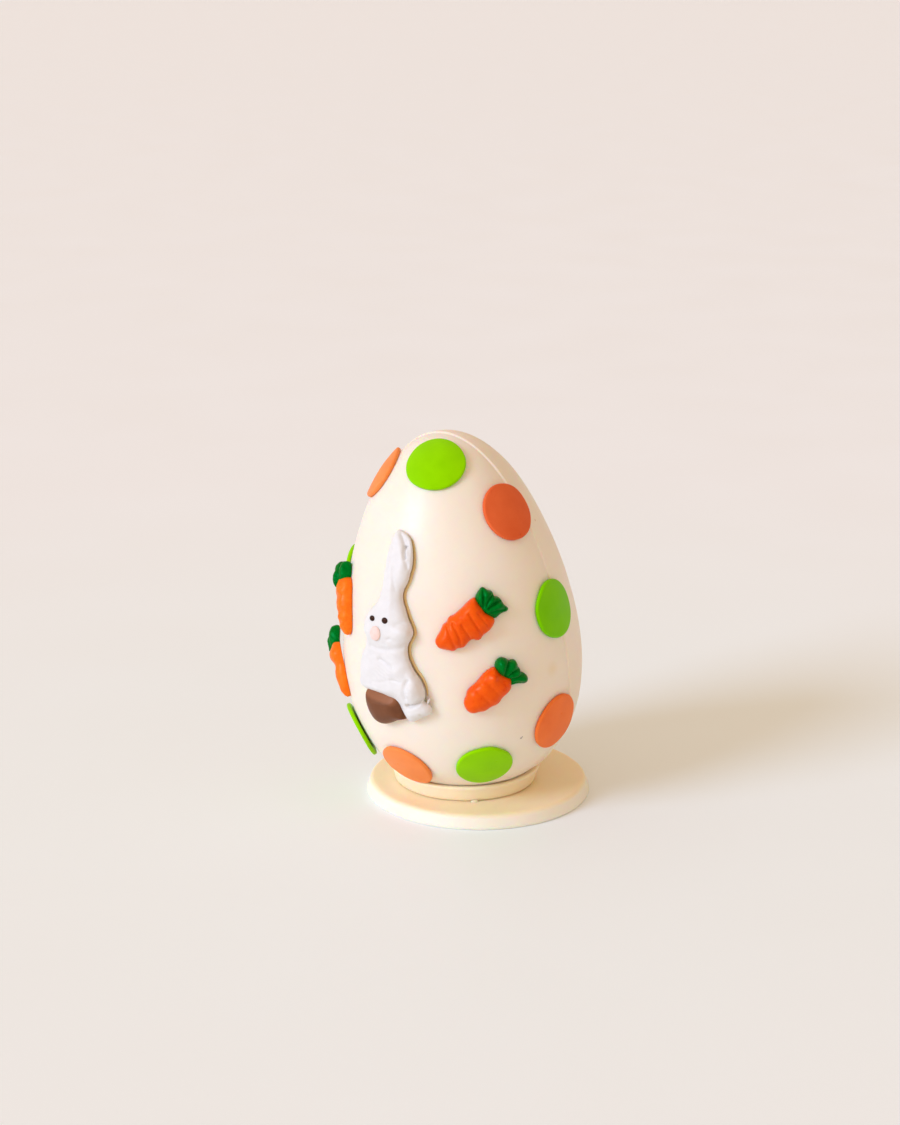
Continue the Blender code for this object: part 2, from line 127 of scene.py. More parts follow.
# How much higher than its edge a disc's middle is, and how uneven its face and its outline are
DISC_CROWN = 0.12 * MM
DISC_FACE_LUMPS = (8 * MM, 0.16 * MM)
DISC_RIM_LUMPS = (12 * MM, 0.012)
DISC_RIM_SEED = 20
# A bubble's depth, and the height, place and width of the ring round it, as shares of its radius
PIT_DEPTH = 0.7
PIT_RING = 0.16
PIT_RING_AT = 1.3
PIT_RING_WIDTH = 0.18
# Small bubbles in a disc's face: east, north and radius in millimetres
DISC_PITS = {
    "disc_orange_right_high": ((0.5, -13.4, 0.75), (-5.5, 12.6, 0.45), (5.0, -8.2, 0.35)),
    "disc_orange_right_low": ((1.5, 5.2, 0.5), (-2.5, -3.0, 0.3)),
    "disc_green_top": ((3.5, 12.0, 0.4), (4.9, 12.9, 0.3)),
    "disc_green_low": ((6.0, 4.5, 0.4),),
    "disc_orange_low": ((-3.0, 3.5, 0.4),),
}

# Left-hand carrots: latitude and bearing of the neck and of the tip in degrees, then width and height in
# millimetres
LEFT_CARROTS = {
    "carrot_left_high": (15.5, -49.4, 0.0, -36.4, 14.6, 7.0),
    "carrot_left_low": (-8.0, -60.0, -23.0, -45.6, 12.6, 6.2),
}
# How much of a root's pointed upper end is cut off, how much it narrows to its tip, and its roundness
CARROT_NECK = 0.03
CARROT_TAPER = (0.42, 1.4)
CARROT_ENDS = 5
ROOT_ROWS = 120
ROOT_COLUMNS = 56
# Furrows across a root, or swellings where the depth is below zero: place along it from 0 at the neck to 1 at
# the tip, depth as a share of its height, width as a share of its length
FURROWS = {
    "carrot_left_high": ((0.34, 0.04, 0.050), (0.58, 0.05, 0.045), (0.78, 0.06, 0.045)),
    "carrot_left_low": ((0.22, -0.14, 0.080), (0.42, 0.09, 0.070), (0.66, -0.03, 0.060)),
}
# How wide the lumps of a root and of its leaves are, where their noise starts, and how high they are
ROOT_LUMP_SIZES = (3.2 * MM, 6.0 * MM)
ROOT_SEED = 42
LEAF_LUMPS = (2.4 * MM, 0.4 * MM)
LEAF_SEED = 62
ROOT_LUMPS = {"carrot_left_high": 0.42, "carrot_left_low": 0.26}
# How far a neck and its leaves stand off the shell
NECK_OFF = {"carrot_left_high": 0.0, "carrot_left_low": 2.0 * MM}
LEAF_VOXEL = 0.45 * MM
# Leaf lobes: where they start across the neck, angle from the carrot's axis, length, half width, height
LEAF_LOBES = {
    "carrot_left_high": ((-2.0, 14, 9.8, 2.7, 7.2), (1.6, -8, 8.6, 2.4, 6.0), (-2.0, 172, 6.4, 2.0, 8.8)),
    "carrot_left_low": ((-0.7, 4, 10.2, 2.6, 5.6), (-2.0, 174, 5.4, 1.4, 7.0), (-3.1, 164, 9.4, 0.7, 7.0)),
}
# Half of how far a lobe reaches back past its start, in millimetres, and how much higher its tips are
LEAF_ROOT = 2.6
LEAF_RISE = 0.3

# Right-hand carrots, modelled as reliefs: places east and north in millimetres from a point given as latitude
# and bearing in degrees
RIGHT_CARROTS = {"carrot_right_high": (4.0, 33.0), "carrot_right_low": (-13.5, 41.5)}
ROOT_OUTLINES = {
    "carrot_right_high": (
        (7.5, 20.3), (9.1, 17.0), (10.5, 15.0), (11.8, 12.5), (13.6, 11.2), (15.4, 9.9), (16.9, 8.0),
        (16.3, 6.2), (15.3, 4.6), (13.5, 2.6), (11.3, 1.4), (9.9, 0.7), (8.7, -0.9), (7.6, -1.7),
        (5.9, -1.7), (4.5, -1.1), (3.2, -1.3), (1.8, -2.3), (0.8, -3.5), (-0.6, -4.6), (-2.3, -4.9),
        (-3.8, -4.9), (-5.4, -5.9), (-6.9, -6.1), (-8.4, -5.4), (-11.4, -4.8), (-13.3, -4.0),
        (-14.5, -2.6), (-15.2, -0.8), (-14.8, 1.0), (-13.4, 3.1), (-11.9, 5.0), (-11.1, 6.6),
        (-10.0, 8.3), (-8.1, 9.4), (-7.3, 11.1), (-5.9, 12.3), (-3.9, 12.9), (-1.6, 14.5), (1.1, 16.5),
        (3.4, 18.6), (4.8, 19.5), (6.2, 20.2),
    ),
    "carrot_right_low": (
        (4.6, 13.2), (6.1, 10.9), (7.5, 9.2), (9.0, 7.8), (11.2, 6.8), (12.6, 5.2), (12.2, 3.4),
        (12.1, 1.2), (10.9, -0.8), (9.1, -2.1), (6.7, -3.7), (5.1, -5.9), (3.2, -7.0), (0.5, -7.6),
        (-1.7, -8.9), (-4.0, -9.7), (-5.7, -9.4), (-7.9, -9.9), (-10.1, -9.7), (-11.8, -8.5),
        (-12.9, -6.7), (-13.4, -4.3), (-12.9, -2.0), (-11.9, -0.2), (-11.0, 2.5), (-9.3, 4.2),
        (-6.5, 6.1), (-4.1, 8.2), (-2.1, 10.4), (0.7, 12.2), (3.0, 13.2),
    ),
}
LEAF_OUTLINES = {
    "carrot_right_high": (
        (7.3, 18.7), (7.9, 21.2), (9.2, 23.0), (10.6, 24.5), (11.7, 25.3), (12.9, 25.0), (14.3, 23.7),
        (16.6, 22.8), (17.5, 21.6), (17.8, 20.0), (19.6, 19.6), (21.2, 18.5), (22.2, 16.6), (23.6, 14.7),
        (25.3, 13.4), (25.8, 12.3), (24.7, 11.1), (22.0, 10.6), (19.9, 9.9), (18.3, 8.8), (16.6, 8.2),
        (14.5, 8.7), (13.1, 9.7), (11.9, 11.0), (10.2, 12.0), (9.2, 13.3), (9.1, 14.8), (8.0, 16.4),
    ),
    "carrot_right_low": (
        (4.6, 13.5), (5.2, 15.7), (6.5, 17.2), (8.6, 17.7), (10.6, 17.0), (11.9, 15.9), (12.9, 15.1),
        (13.9, 15.4), (15.6, 15.1), (16.9, 13.5), (17.2, 11.4), (18.3, 9.8), (18.5, 7.8), (20.3, 7.0),
        (22.0, 5.4), (22.7, 3.3), (21.8, 1.4), (19.9, 1.0), (17.3, 1.5), (14.8, 2.0), (12.9, 1.8),
        (11.3, 1.7), (10.5, 3.0), (10.7, 4.6), (10.8, 5.5), (9.0, 6.2), (7.3, 7.5), (5.9, 9.2),
        (4.9, 11.3),
    ),
}
# Height of the wall, full thickness and width of the rounded edge, in millimetres
ROOT_PROFILE = (0.8, 7.0, 7.0)
LEAF_PROFILE = (0.8, 4.6, 3.4)
# How high their lumps are, how wide these are, a finer unevenness, and where the noise starts
RIGHT_UNEVENNESS = (0.3, 0.25)
RIGHT_LUMP = 3.6 * MM
RIGHT_GRAIN = (1.3 * MM, 0.06 * MM)
RIGHT_SEED = 90
# Soft mounds and hollows: east, north, half width, half length, turn in degrees, height
ROOT_MOUNDS = {
    "carrot_right_high": ((5.0, 15.0, 3.6, 3.0, 0, 0.5), (-9.5, 1.0, 3.5, 3.0, 0, 0.3)),
    "carrot_right_low": ((2.8, 9.0, 1.5, 1.5, 0, 1.0), (-3.5, 6.6, 2.6, 1.2, -30, 0.6)),
}
LEAF_MOUNDS = {
    "carrot_right_high": (
        (9.6, 19.5, 1.2, 4.0, -5, 0.7), (13.0, 20.4, 1.0, 3.6, -18, 0.6), (16.2, 18.4, 1.0, 3.8, -50, 0.7),
        (19.6, 14.4, 1.1, 4.2, -78, 0.7), (13.6, 12.0, 1.8, 1.6, 0, 0.9),
    ),
    "carrot_right_low": (
        (7.8, 13.0, 1.9, 3.6, -10, 1.3), (13.4, 12.4, 1.5, 3.4, -35, 0.7), (14.8, 7.6, 1.2, 3.8, -80, 0.6),
        (18.4, 4.2, 3.2, 1.6, -15, 0.7),
    ),
}
# Creases: depth and half width in millimetres, and the places that each runs through
ROOT_CREASES = {
    "carrot_right_high": (
        (1.0, 0.65, ((-4.8, 8.6), (-3.4, 4.4), (-2.4, 1.1), (-2.1, -2.8), (-2.3, -5.2))),
        (0.9, 0.60, ((-0.7, 7.7), (1.0, 3.9), (2.2, 1.2), (3.0, -1.6))),
        (0.9, 0.60, ((3.3, 12.7), (5.2, 8.3), (7.2, 4.2), (8.5, 1.2), (9.0, -0.4))),
        (0.6, 0.60, ((7.2, 12.7), (9.7, 9.0), (11.8, 5.3), (12.9, 3.6))),
        (0.7, 0.70, ((-7.6, 7.4), (-6.3, 1.8), (-5.2, -3.1), (-4.9, -5.6))),
    ),
    "carrot_right_low": (
        (0.35, 0.9, ((-6.0, 2.9), (-3.0, -0.3), (-0.5, -4.3))),
        (0.40, 0.9, ((0.4, 5.4), (3.3, 1.3), (5.6, -1.9))),
        (0.30, 0.8, ((5.6, 7.4), (8.2, 3.6), (9.6, 0.6))),
    ),
}
LEAF_CREASES = {
    "carrot_right_high": (
        (1.1, 0.55, ((11.0, 15.3), (11.1, 19.3), (11.8, 24.2))),
        (1.0, 0.55, ((12.4, 15.3), (14.0, 18.1), (16.5, 20.8))),
        (1.5, 0.70, ((13.4, 14.0), (16.7, 16.0), (20.7, 17.2))),
        (0.8, 0.50, ((14.5, 12.2), (18.1, 12.4), (22.4, 12.5))),
        (0.6, 0.50, ((13.7, 11.5), (14.8, 10.5), (16.0, 9.4))),
    ),
    "carrot_right_low": (
        (1.3, 0.60, ((8.4, 7.8), (9.9, 11.8), (12.0, 15.4))),
        (1.0, 0.60, ((9.6, 7.4), (13.3, 9.4), (17.0, 10.4))),
        (0.9, 0.60, ((10.6, 5.6), (13.8, 5.7), (17.4, 6.6), (19.4, 7.0))),
        (0.5, 0.50, ((12.4, 3.6), (15.6, 3.8), (18.0, 2.4))),
    ),
}

# Rabbit: its place as latitude and bearing in degrees. Its shapes are given east and north of there, in
# millimetres
RABBIT_PLACE = (0.0, -5.0)
# A relief's mesh: its step, how far its underside is drawn in, and how often the distance from the outline is
# averaged, so that the rounded edge has no sharp ridge where two sides meet
RELIEF_STEP = 0.42 * MM
RELIEF_UNDERCUT = 0.2 * MM
RELIEF_SOFTENING = 10
RABBIT_OUTLINE = (
    (0.8, 63.3), (3.7, 62.6), (6.4, 61.1), (8.2, 59.0), (9.4, 56.3), (10.3, 52.7), (10.9, 48.6),
    (10.9, 45.0), (10.3, 41.8), (9.8, 38.6), (8.9, 35.9), (7.8, 33.2), (7.3, 30.5), (7.5, 27.9),
    (8.2, 25.4), (9.3, 22.9), (10.3, 19.9), (11.3, 17.4), (12.5, 15.1), (13.5, 12.9), (13.8, 10.8),
    (13.0, 8.3), (11.8, 6.0), (11.0, 3.6), (10.9, 0.9), (11.3, -2.3), (12.3, -4.9), (13.5, -7.5),
    (15.1, -10.1), (17.1, -12.7), (18.5, -15.3), (19.5, -18.1), (19.9, -20.9), (19.7, -23.4),
    (18.9, -25.0), (20.4, -26.4), (22.4, -27.9), (23.0, -30.0), (21.8, -32.4), (18.2, -34.0),
    (14.4, -35.9), (11.1, -37.4), (8.8, -36.9), (6.3, -31.0), (4.0, -26.9), (0.0, -24.7), (-5.0, -23.6),
    (-10.0, -23.3), (-14.5, -23.2), (-17.5, -22.4), (-19.0, -19.8), (-18.8, -16.1), (-18.5, -11.6),
    (-18.0, -7.7), (-16.5, -3.7), (-14.3, -0.1), (-12.6, 2.9), (-12.1, 5.7), (-13.2, 9.1), (-13.7, 12.7),
    (-13.1, 16.5), (-11.5, 19.8), (-8.6, 22.8), (-5.9, 25.7), (-4.4, 29.4), (-3.6, 33.6), (-3.4, 38.2),
    (-3.3, 42.8), (-3.0, 47.0), (-2.5, 51.1), (-1.8, 55.3), (-1.0, 59.0), (0.0, 62.0),
)
RABBIT_WALL = 1.0
RABBIT_LUMPS = ((5 * MM, 0.35 * MM, 80), (1.6 * MM, 0.09 * MM, 81))
# How much wider the rounded edge is on its right side
RABBIT_RIGHT_ROUNDING = 1.0
# How thick it is and how wide its rounded edge is, in millimetres, at distances north of the egg's middle
RABBIT_THICKNESS = (
    (-37, 4.2, 3.0), (-31, 4.9, 3.4), (-26, 5.6, 4.0), (-20, 6.2, 4.0), (-12, 6.6, 4.5), (-2, 6.6, 4.5),
    (4, 7.2, 4.6), (10, 7.9, 5.0), (18, 7.9, 5.0), (26, 6.8, 3.8), (33, 6.2, 3.4), (45, 5.4, 3.4),
    (55, 4.8, 3.2), (64, 4.0, 3.0),
)
# Soft mounds and hollows on it: east, north, half width, half length, turn in degrees, height
RABBIT_MOUNDS = (
    (-3.0, 9.6, 6.5, 5.0, 0, 0.7),
    (9.6, 11.0, 3.6, 3.0, 0, 1.1),
    (-9.5, 10.0, 3.6, 3.2, 0, 0.5),
    (8.0, 57.5, 2.6, 5.0, 25, -1.4),
    (1.5, 50.0, 2.4, 12.0, 4, 0.5),
    (5.5, -10.0, 6.2, 2.6, 35, 0.8),
    (-9.0, -10.0, 6.0, 4.5, 0, 0.4),
    (-3.0, -19.4, 13.0, 3.2, 0, 0.8),
    (15.2, -18.6, 4.6, 6.4, 10, 1.9),
    (14.5, -31.4, 6.0, 2.6, 10, 0.7),
)
# Creases pressed into it: depth and half width in millimetres, and the places that each runs through
RABBIT_CREASES = (
    (0.9, 0.6, ((3.2, 61.6), (5.6, 57.7), (6.9, 54.8))),
    (1.9, 0.6, ((6.9, 54.8), (7.2, 51.8), (7.9, 48.9))),
    (0.6, 0.6, ((8.4, 47.4), (9.3, 45.0), (10.8, 41.6))),
    (0.5, 0.5, ((6.9, 54.8), (8.8, 55.6))),
    (0.5, 1.6, ((9.6, 52.5), (9.9, 48.0), (9.2, 43.0))),
    (0.35, 0.8, ((3.2, 43.5), (3.8, 38.1), (4.8, 32.6))),
    (0.30, 0.9, ((0.2, 54.0), (0.6, 46.0), (0.4, 39.0))),
    (0.7, 1.5, ((-7.0, 2.6), (-2.1, 1.8), (3.8, 2.2), (9.4, 3.4), (13.2, 4.9))),
    (0.55, 0.8, ((3.5, 7.6), (4.3, 8.0))),
    (0.40, 0.8, ((0.9, 5.0), (1.6, 4.6))),
    (0.5, 1.0, ((7.2, 15.4), (9.8, 16.4), (12.6, 15.6))),
    (0.75, 1.0, ((-2.0, -3.7), (0.3, -4.4), (2.6, -6.1), (4.8, -7.3))),
    (0.25, 0.7, ((-7.2, -16.5), (-2.1, -15.8), (2.8, -13.9))),
    (0.5, 0.6, ((4.2, -13.8), (6.1, -13.7), (8.6, -14.2))),
    (0.25, 0.5, ((-4.2, -9.0), (-1.2, -10.8), (2.0, -12.4))),
    (0.22, 0.5, ((-2.6, -8.2), (0.4, -10.0), (3.4, -11.6))),
    (0.22, 0.5, ((-5.4, -10.4), (-2.8, -12.2), (0.4, -13.6))),
    (0.6, 1.8, ((12.6, -7.6), (11.4, -11.0), (12.2, -14.0))),
    (1.0, 1.0, ((12.2, -13.4), (10.7, -18.5), (11.0, -22.6))),
    (2.3, 1.0, ((11.4, -26.9), (12.8, -26.8), (15.3, -26.0), (18.3, -24.3), (20.8, -23.2))),
    (0.6, 0.7, ((17.4, -31.6), (19.6, -33.6))),
)
# The creases' depths are multiplied by this
RABBIT_PRESSED = 1.1
# Its right side stands off the shell: where it starts to, over what width, and how far, in millimetres. It is
# drawn further to the right by this share of that
RABBIT_OFF = (-3.0, 15.0, 1.7)
RABBIT_OFF_SHIFT = 0.7
# A small spur of icing above its foot: east, north, out, half width, length and height, and turn in degrees
RABBIT_SPUR = (21.3, -25.4, 0.4, 0.7, 1.9, 1.3, -28)
# A golden line painted as the shadow in the crevice under its right edge: places east and north, and half its
# width
SHADOW_LINE = (
    (8.6, 59.4), (10.1, 56.5), (11.2, 52.7), (11.8, 48.6), (11.9, 45.0), (11.2, 41.6), (10.6, 38.4),
    (9.6, 35.6), (8.5, 33.0), (7.9, 30.5), (8.1, 28.1), (8.9, 25.7), (10.0, 23.2), (11.2, 20.3),
    (12.3, 17.8), (13.6, 15.4), (14.7, 13.0), (15.1, 10.6), (14.2, 8.0), (12.9, 5.7), (12.0, 3.4),
    (11.9, 0.9), (12.3, -2.1), (13.4, -4.6), (14.7, -7.1), (16.4, -9.8), (18.5, -12.3), (20.0, -15.0),
    (21.1, -18.0), (21.5, -20.9), (21.3, -23.4),
)
SHADOW_LINE_WIDTH = 0.95 * MM
SHADOW_LINE_SIDES = 12
SHADOW_LINE_LUMPS = (6 * MM, 0.2 * MM, 99)
# The half egg in its lap
LAP_OUTLINE = (
    (-14.6, -22.2), (-10.8, -20.6), (-6.6, -20.1), (-2.3, -20.7), (2.5, -21.7), (5.9, -23.0), (7.8, -25.2),
    (8.0, -28.0), (7.8, -30.8), (7.6, -32.4), (9.6, -33.9), (9.9, -35.5), (7.6, -36.8), (3.1, -38.0),
    (-0.5, -39.9), (-5.8, -41.8), (-10.0, -41.0), (-12.9, -38.6), (-14.9, -35.4), (-16.0, -32.4),
    (-16.6, -29.5), (-16.6, -26.5), (-16.0, -24.0),
)
LAP_PROFILE = (0.8, 8.0, 9.5)
# The flat band along its upper side: where it starts north of the egg's middle, its height there, its slope
LAP_BAND = (-27.6, 7.6, 0.68)
# The low stub at its right end: east, north, radius and height
LAP_STUB = (8.8, -34.8, 2.0, 2.4)
# Nose and eyes: east, north, half width, half length and half height
NOSE = (-2.9, 9.7, 3.0, 3.7, 1.3)
EYES = {
    "rabbit_eye_left": (-5.3, 17.0, 1.5, 1.45, 0.7),
    "rabbit_eye_right": (1.9, 16.9, 1.6, 1.6, 0.7),
}

# Camera: the whole picture is 1125 pixels high, and its focal length is given in those pixels
PICTURE_HEIGHT = 1125
PICTURE_MIDDLE = (450.0, 562.5)
FOCAL_PIXELS = 2156.0
EGG_AT = (458.7, 608.8)
CAMERA_DISTANCE = 1.172
CAMERA_PITCH = math.radians(16.0)
CAMERA_AZIMUTH = math.radians(30.0)
SENSOR_WIDTH = 36.0

# Light: the key comes from the left, and its direction is given as right, up and towards the camera
KEY_TOWARDS = (-0.76, 0.44, 0.50)
KEY_ANGLE = math.radians(24)
KEY_STRENGTH = 2.2
KEY_COLOUR = (0.58, 0.73, 1.0)
# The room is brighter towards the left and the front than away from them
ROOM_TOWARDS = (-0.72, -0.50, 0.43)
ROOM_BRIGHT = (1.04, 0.86, 0.68)
ROOM_DIM = (0.645, 0.485, 0.35)

# Floor: its colour near the object and far from it, over what distances, and half its size
FLOOR_NEAR = (0.90, 0.97, 1.0)
FLOOR_FAR = (0.92, 0.96, 1.0)
FLOOR_TURNS = (0.25, 0.75)
FLOOR_REACH = 60.0

# White chocolate: the material's name, its darkest and its lightest colour
CREAMS = {
    "cream": ("white_chocolate_skin", (0.865, 0.765, 0.635), (0.890, 0.800, 0.685)),
    "base": ("white_chocolate_base", (0.930, 0.830, 0.700), (0.950, 0.865, 0.755)),
    "seat": ("white_chocolate_seat", (0.945, 0.780, 0.545), (0.960, 0.815, 0.590)),
}
# The base's top is painted golden as painted warm shade from light bounced between egg and base: its colour,
# and how far below its height the colour turns
PAINTED_WARM_SHADE_COLOUR = (0.960, 0.790, 0.530)
PAINTED_WARM_SHADE_TURNS = (2.2 * MM, 0.3 * MM)
# Marks on the shell: latitude and bearing in degrees, radius and softness in millimetres, strength and colour
SHELL_MARKS = (
    (-33.5, 57.0, 0.55, 0.25, 0.75, (0.24, 0.17, 0.12)),
    (-33.1, 57.7, 0.35, 0.20, 0.75, (0.20, 0.14, 0.10)),
    (-12.5, 77.0, 3.0, 2.2, 0.3, (0.80, 0.62, 0.28)),
    (31.5, 100.0, 0.5, 0.3, 0.75, (0.55, 0.36, 0.20)),
)
# A painted highlight on the cut face of the egg in the rabbit's lap, paler where it faces the light: places
# along it east, north and out in millimetres, the radius and softness of the mark at each, and its colour
LAP_PAINTED_SHEEN = (
    (-11.5, -23.2, 4.2), (-8.0, -23.4, 5.2), (-4.5, -23.8, 5.4), (-1.0, -24.4, 5.2), (2.5, -25.4, 4.4),
)
LAP_PAINTED_SHEEN_MARK = (3.4, 1.0, (0.280, 0.105, 0.048))
# What the green and the orange discs share of the values below
GREEN_PASTE = (0.44, 0.10, (0.6, 1.0, 0.1), 90.0, 1400.0)
ORANGE_PASTE = (0.46, 0.12, (1.0, 0.35, 0.15), 90.0, 1400.0, (1.0, 0.5, 0.2))
# Sugar paste, icing and brown chocolate: the material's name and slot, its darkest and its lightest colour,
# roughness, translucency, how far red, green and blue light spread in it, how fine its mottling and its grain
# are, and the tint of its gloss
PASTES = {
    "green": (
        "green_sugar_paste", "green_icing", (0.255, 0.625, 0.000), (0.290, 0.680, 0.000),
        *GREEN_PASTE, (0.3, 1.0, 0.0),
    ),
    # Painted shade: a darker copy of the green paste for the disc that faces away from the light
    "green_shaded": (
        "green_sugar_paste_painted_shade", "green_icing", (0.180, 0.565, 0.000), (0.210, 0.615, 0.000),
        *GREEN_PASTE, (0.2, 1.0, 0.0),
    ),
    # Painted shade: a darker copy of the orange paste for a disc in shade
    "orange_shaded": (
        "orange_sugar_paste_painted_shade", "orange_icing", (0.730, 0.115, 0.030), (0.780, 0.140, 0.040),
        *ORANGE_PASTE,
    ),
    # Painted light: a lighter copy of the orange paste for the discs that face the light
    "orange_lit": (
        "orange_sugar_paste_painted_light", "orange_icing", (0.870, 0.235, 0.055), (0.930, 0.280, 0.075),
        *ORANGE_PASTE,
    ),
    "orange": (
        "orange_sugar_paste", "orange_icing", (0.850, 0.168, 0.032), (0.910, 0.205, 0.046),
        *ORANGE_PASTE,
    ),
    "carrot": (
        "carrot_icing", "carrot_icing", (0.800, 0.072, 0.0005), (0.870, 0.108, 0.002),
        0.32, 0.12, (1.0, 0.30, 0.08), 260.0, 2400.0, (1.0, 0.65, 0.35),
    ),
    # Painted light: a lighter copy of the carrot icing for the carrots on the lit left side
    "carrot_lit": (
        "carrot_icing_painted_light", "carrot_icing", (0.900, 0.140, 0.002), (0.950, 0.200, 0.010),
        0.34, 0.12, (1.0, 0.35, 0.08), 260.0, 2400.0, (1.0, 0.75, 0.4),
    ),
    "leaf": (
        "leaf_icing", "leaf_icing", (0.000, 0.115, 0.007), (0.000, 0.175, 0.015),
        0.30, 0.08, (0.3, 1.0, 0.4), 420.0, 2400.0, (0.0, 0.7, 0.2),
    ),
    "white": (
        "white_icing", "white_icing", (0.735, 0.715, 0.700), (0.775, 0.755, 0.735),
        0.44, 0.25, (1.0, 0.9, 0.85), 240.0, 1800.0, (1.0, 1.0, 1.0),
    ),
    "milk": (
        "milk_chocolate", "milk_chocolate", (0.145, 0.050, 0.022), (0.180, 0.065, 0.029),
        0.40, 0.08, (1.0, 0.5, 0.3), 220.0, 2000.0, (1.0, 0.7, 0.5),
    ),
    # Painted shadow: the golden colour of the line under the rabbit's right edge
    "golden": (
        "painted_golden_shadow", "white_chocolate", (0.760, 0.500, 0.220), (0.840, 0.590, 0.290),
        0.40, 0.30, (1.0, 0.5, 0.2), 220.0, 2000.0, (1.0, 0.8, 0.5),
    ),
    "dark": (
        "dark_icing", "dark_icing", (0.022, 0.008, 0.005), (0.034, 0.013, 0.008),
        0.30, 0.0, (1.0, 0.5, 0.3), 600.0, 3000.0, (0.7, 0.35, 0.25),
    ),
    "pink": (
        "pink_icing", "pink_icing", (0.860, 0.600, 0.530), (0.890, 0.670, 0.600),
        0.46, 0.25, (1.0, 0.6, 0.5), 420.0, 2400.0, (1.0, 1.0, 1.0),
    ),
}
PASTE_SPECULAR = 0.3
# Bumps of paste and of white chocolate, soft ones and then the fine skin: strength, and depth in metres
PASTE_BUMPS = ((0.22, 0.0006), (0.12, 0.00008))
CREAM_BUMPS = ((0.16, 0.0008), (0.08, 0.0001))
# How deep light goes into them, in metres
PASTE_DEPTH = 0.0025
CREAM_DEPTH = 0.004


# Materials


def shader_of(name):
    """A new material with its Principled shader, node tree and object coordinates."""
    made = bpy.data.materials.new(name)
    made.use_nodes = True
    tree = made.node_tree
    shader = tree.nodes["Principled BSDF"]
    coordinates = tree.nodes.new("ShaderNodeTexCoord")
    return made, tree, shader, coordinates.outputs["Object"]


def feed(tree, node, inputs):
    """Gives a node its inputs, where a socket is linked and anything else is set as a value."""
    for name, value in inputs.items():
        if isinstance(value, bpy.types.NodeSocket):
            tree.links.new(value, node.inputs[name])
        else:
            node.inputs[name].default_value = value


def added(tree, kind, inputs):
    """A new node of this kind with its inputs."""
    node = tree.nodes.new(f"ShaderNode{kind}")
    feed(tree, node, inputs)
    return node


def noise_node(tree, vector, scale, detail=3.0, roughness=0.5):
    inputs = {"Vector": vector, "Scale": scale, "Detail": detail, "Roughness": roughness}
    return added(tree, "TexNoise", inputs).outputs["Fac"]


def ramp(tree, factor, low, high):
    """A colour between a low one and a high one, by a factor that stays near its middle."""
    node = added(tree, "ValToRGB", {"Fac": factor})
    for element, position, colour in zip(node.color_ramp.elements, (0.3, 0.7), (low, high)):
        element.position = position
        element.color = (*colour, 1.0)
    return node.outputs["Color"]


def mapped(tree, factor, low, high, start=0.3, end=0.7):
    """A factor stretched from start..end to low..high."""
    inputs = {"Value": factor, "From Min": start, "From Max": end, "To Min": low, "To Max": high}
    return added(tree, "MapRange", inputs).outputs["Result"]


def bumped(tree, height, strength, distance, under=None):
    """The normal with a bump from this height, over another bump if one is given."""
    inputs = {"Strength": strength, "Distance": distance, "Height": height}
    if under:
        inputs["Normal"] = under
    return added(tree, "Bump", inputs).outputs["Normal"]


def spot(tree, vector, centre, radius, soft):
    """1 inside a ball round this point, falling to 0 over the soft width."""
    node = added(tree, "VectorMath", {0: vector, 1: tuple(centre)})
    node.operation = "DISTANCE"
    return mapped(tree, node.outputs["Value"], 1.0, 0.0, radius - soft, radius + soft)


def mixed(tree, factor, first, second):
    """The second colour over the first, by this factor. Either may be a socket or a plain colour."""
    node = tree.nodes.new("ShaderNodeMix")
    node.data_type = "RGBA"
    colours = [(*c, 1.0) if isinstance(c, tuple) else c for c in (first, second)]
    feed(tree, node, {"Factor": factor, 6: colours[0], 7: colours[1]})
    return node.outputs[2]


def translucent(weight, radius, scale):
    """The shader's inputs that let light into a material."""
    return {"Subsurface Weight": weight, "Subsurface Radius": radius, "Subsurface Scale": scale}


def paste_material(name, marks, low, high, roughness, weight, radius, mottle, grain, tint):
    """Sugar paste or chocolate: mottled colour, uneven gloss, soft lumps, a fine skin and perhaps painted
    highlight marks.
    """
    made, tree, shader, vector = shader_of(name)
    broad = noise_node(tree, vector, mottle, 4.0, 0.55)
    fine = noise_node(tree, vector, grain, 2.0, 0.5)
    surface = ramp(tree, broad, low, high)
    # Marks painted over the colour: here painted highlights
    for place, reach, soft, mark in marks:
        surface = mixed(tree, spot(tree, vector, place, reach * MM, soft * MM), surface, mark)
    feed(tree, shader, {
        "Base Color": surface,
        "Roughness": mapped(tree, broad, roughness - 0.06, roughness + 0.08),
        "Normal": bumped(tree, fine, *PASTE_BUMPS[1], bumped(tree, broad, *PASTE_BUMPS[0])),
        "Specular IOR Level": PASTE_SPECULAR,
        "Specular Tint": (*tint, 1.0),
        **translucent(weight, radius, PASTE_DEPTH),
    })
    return made


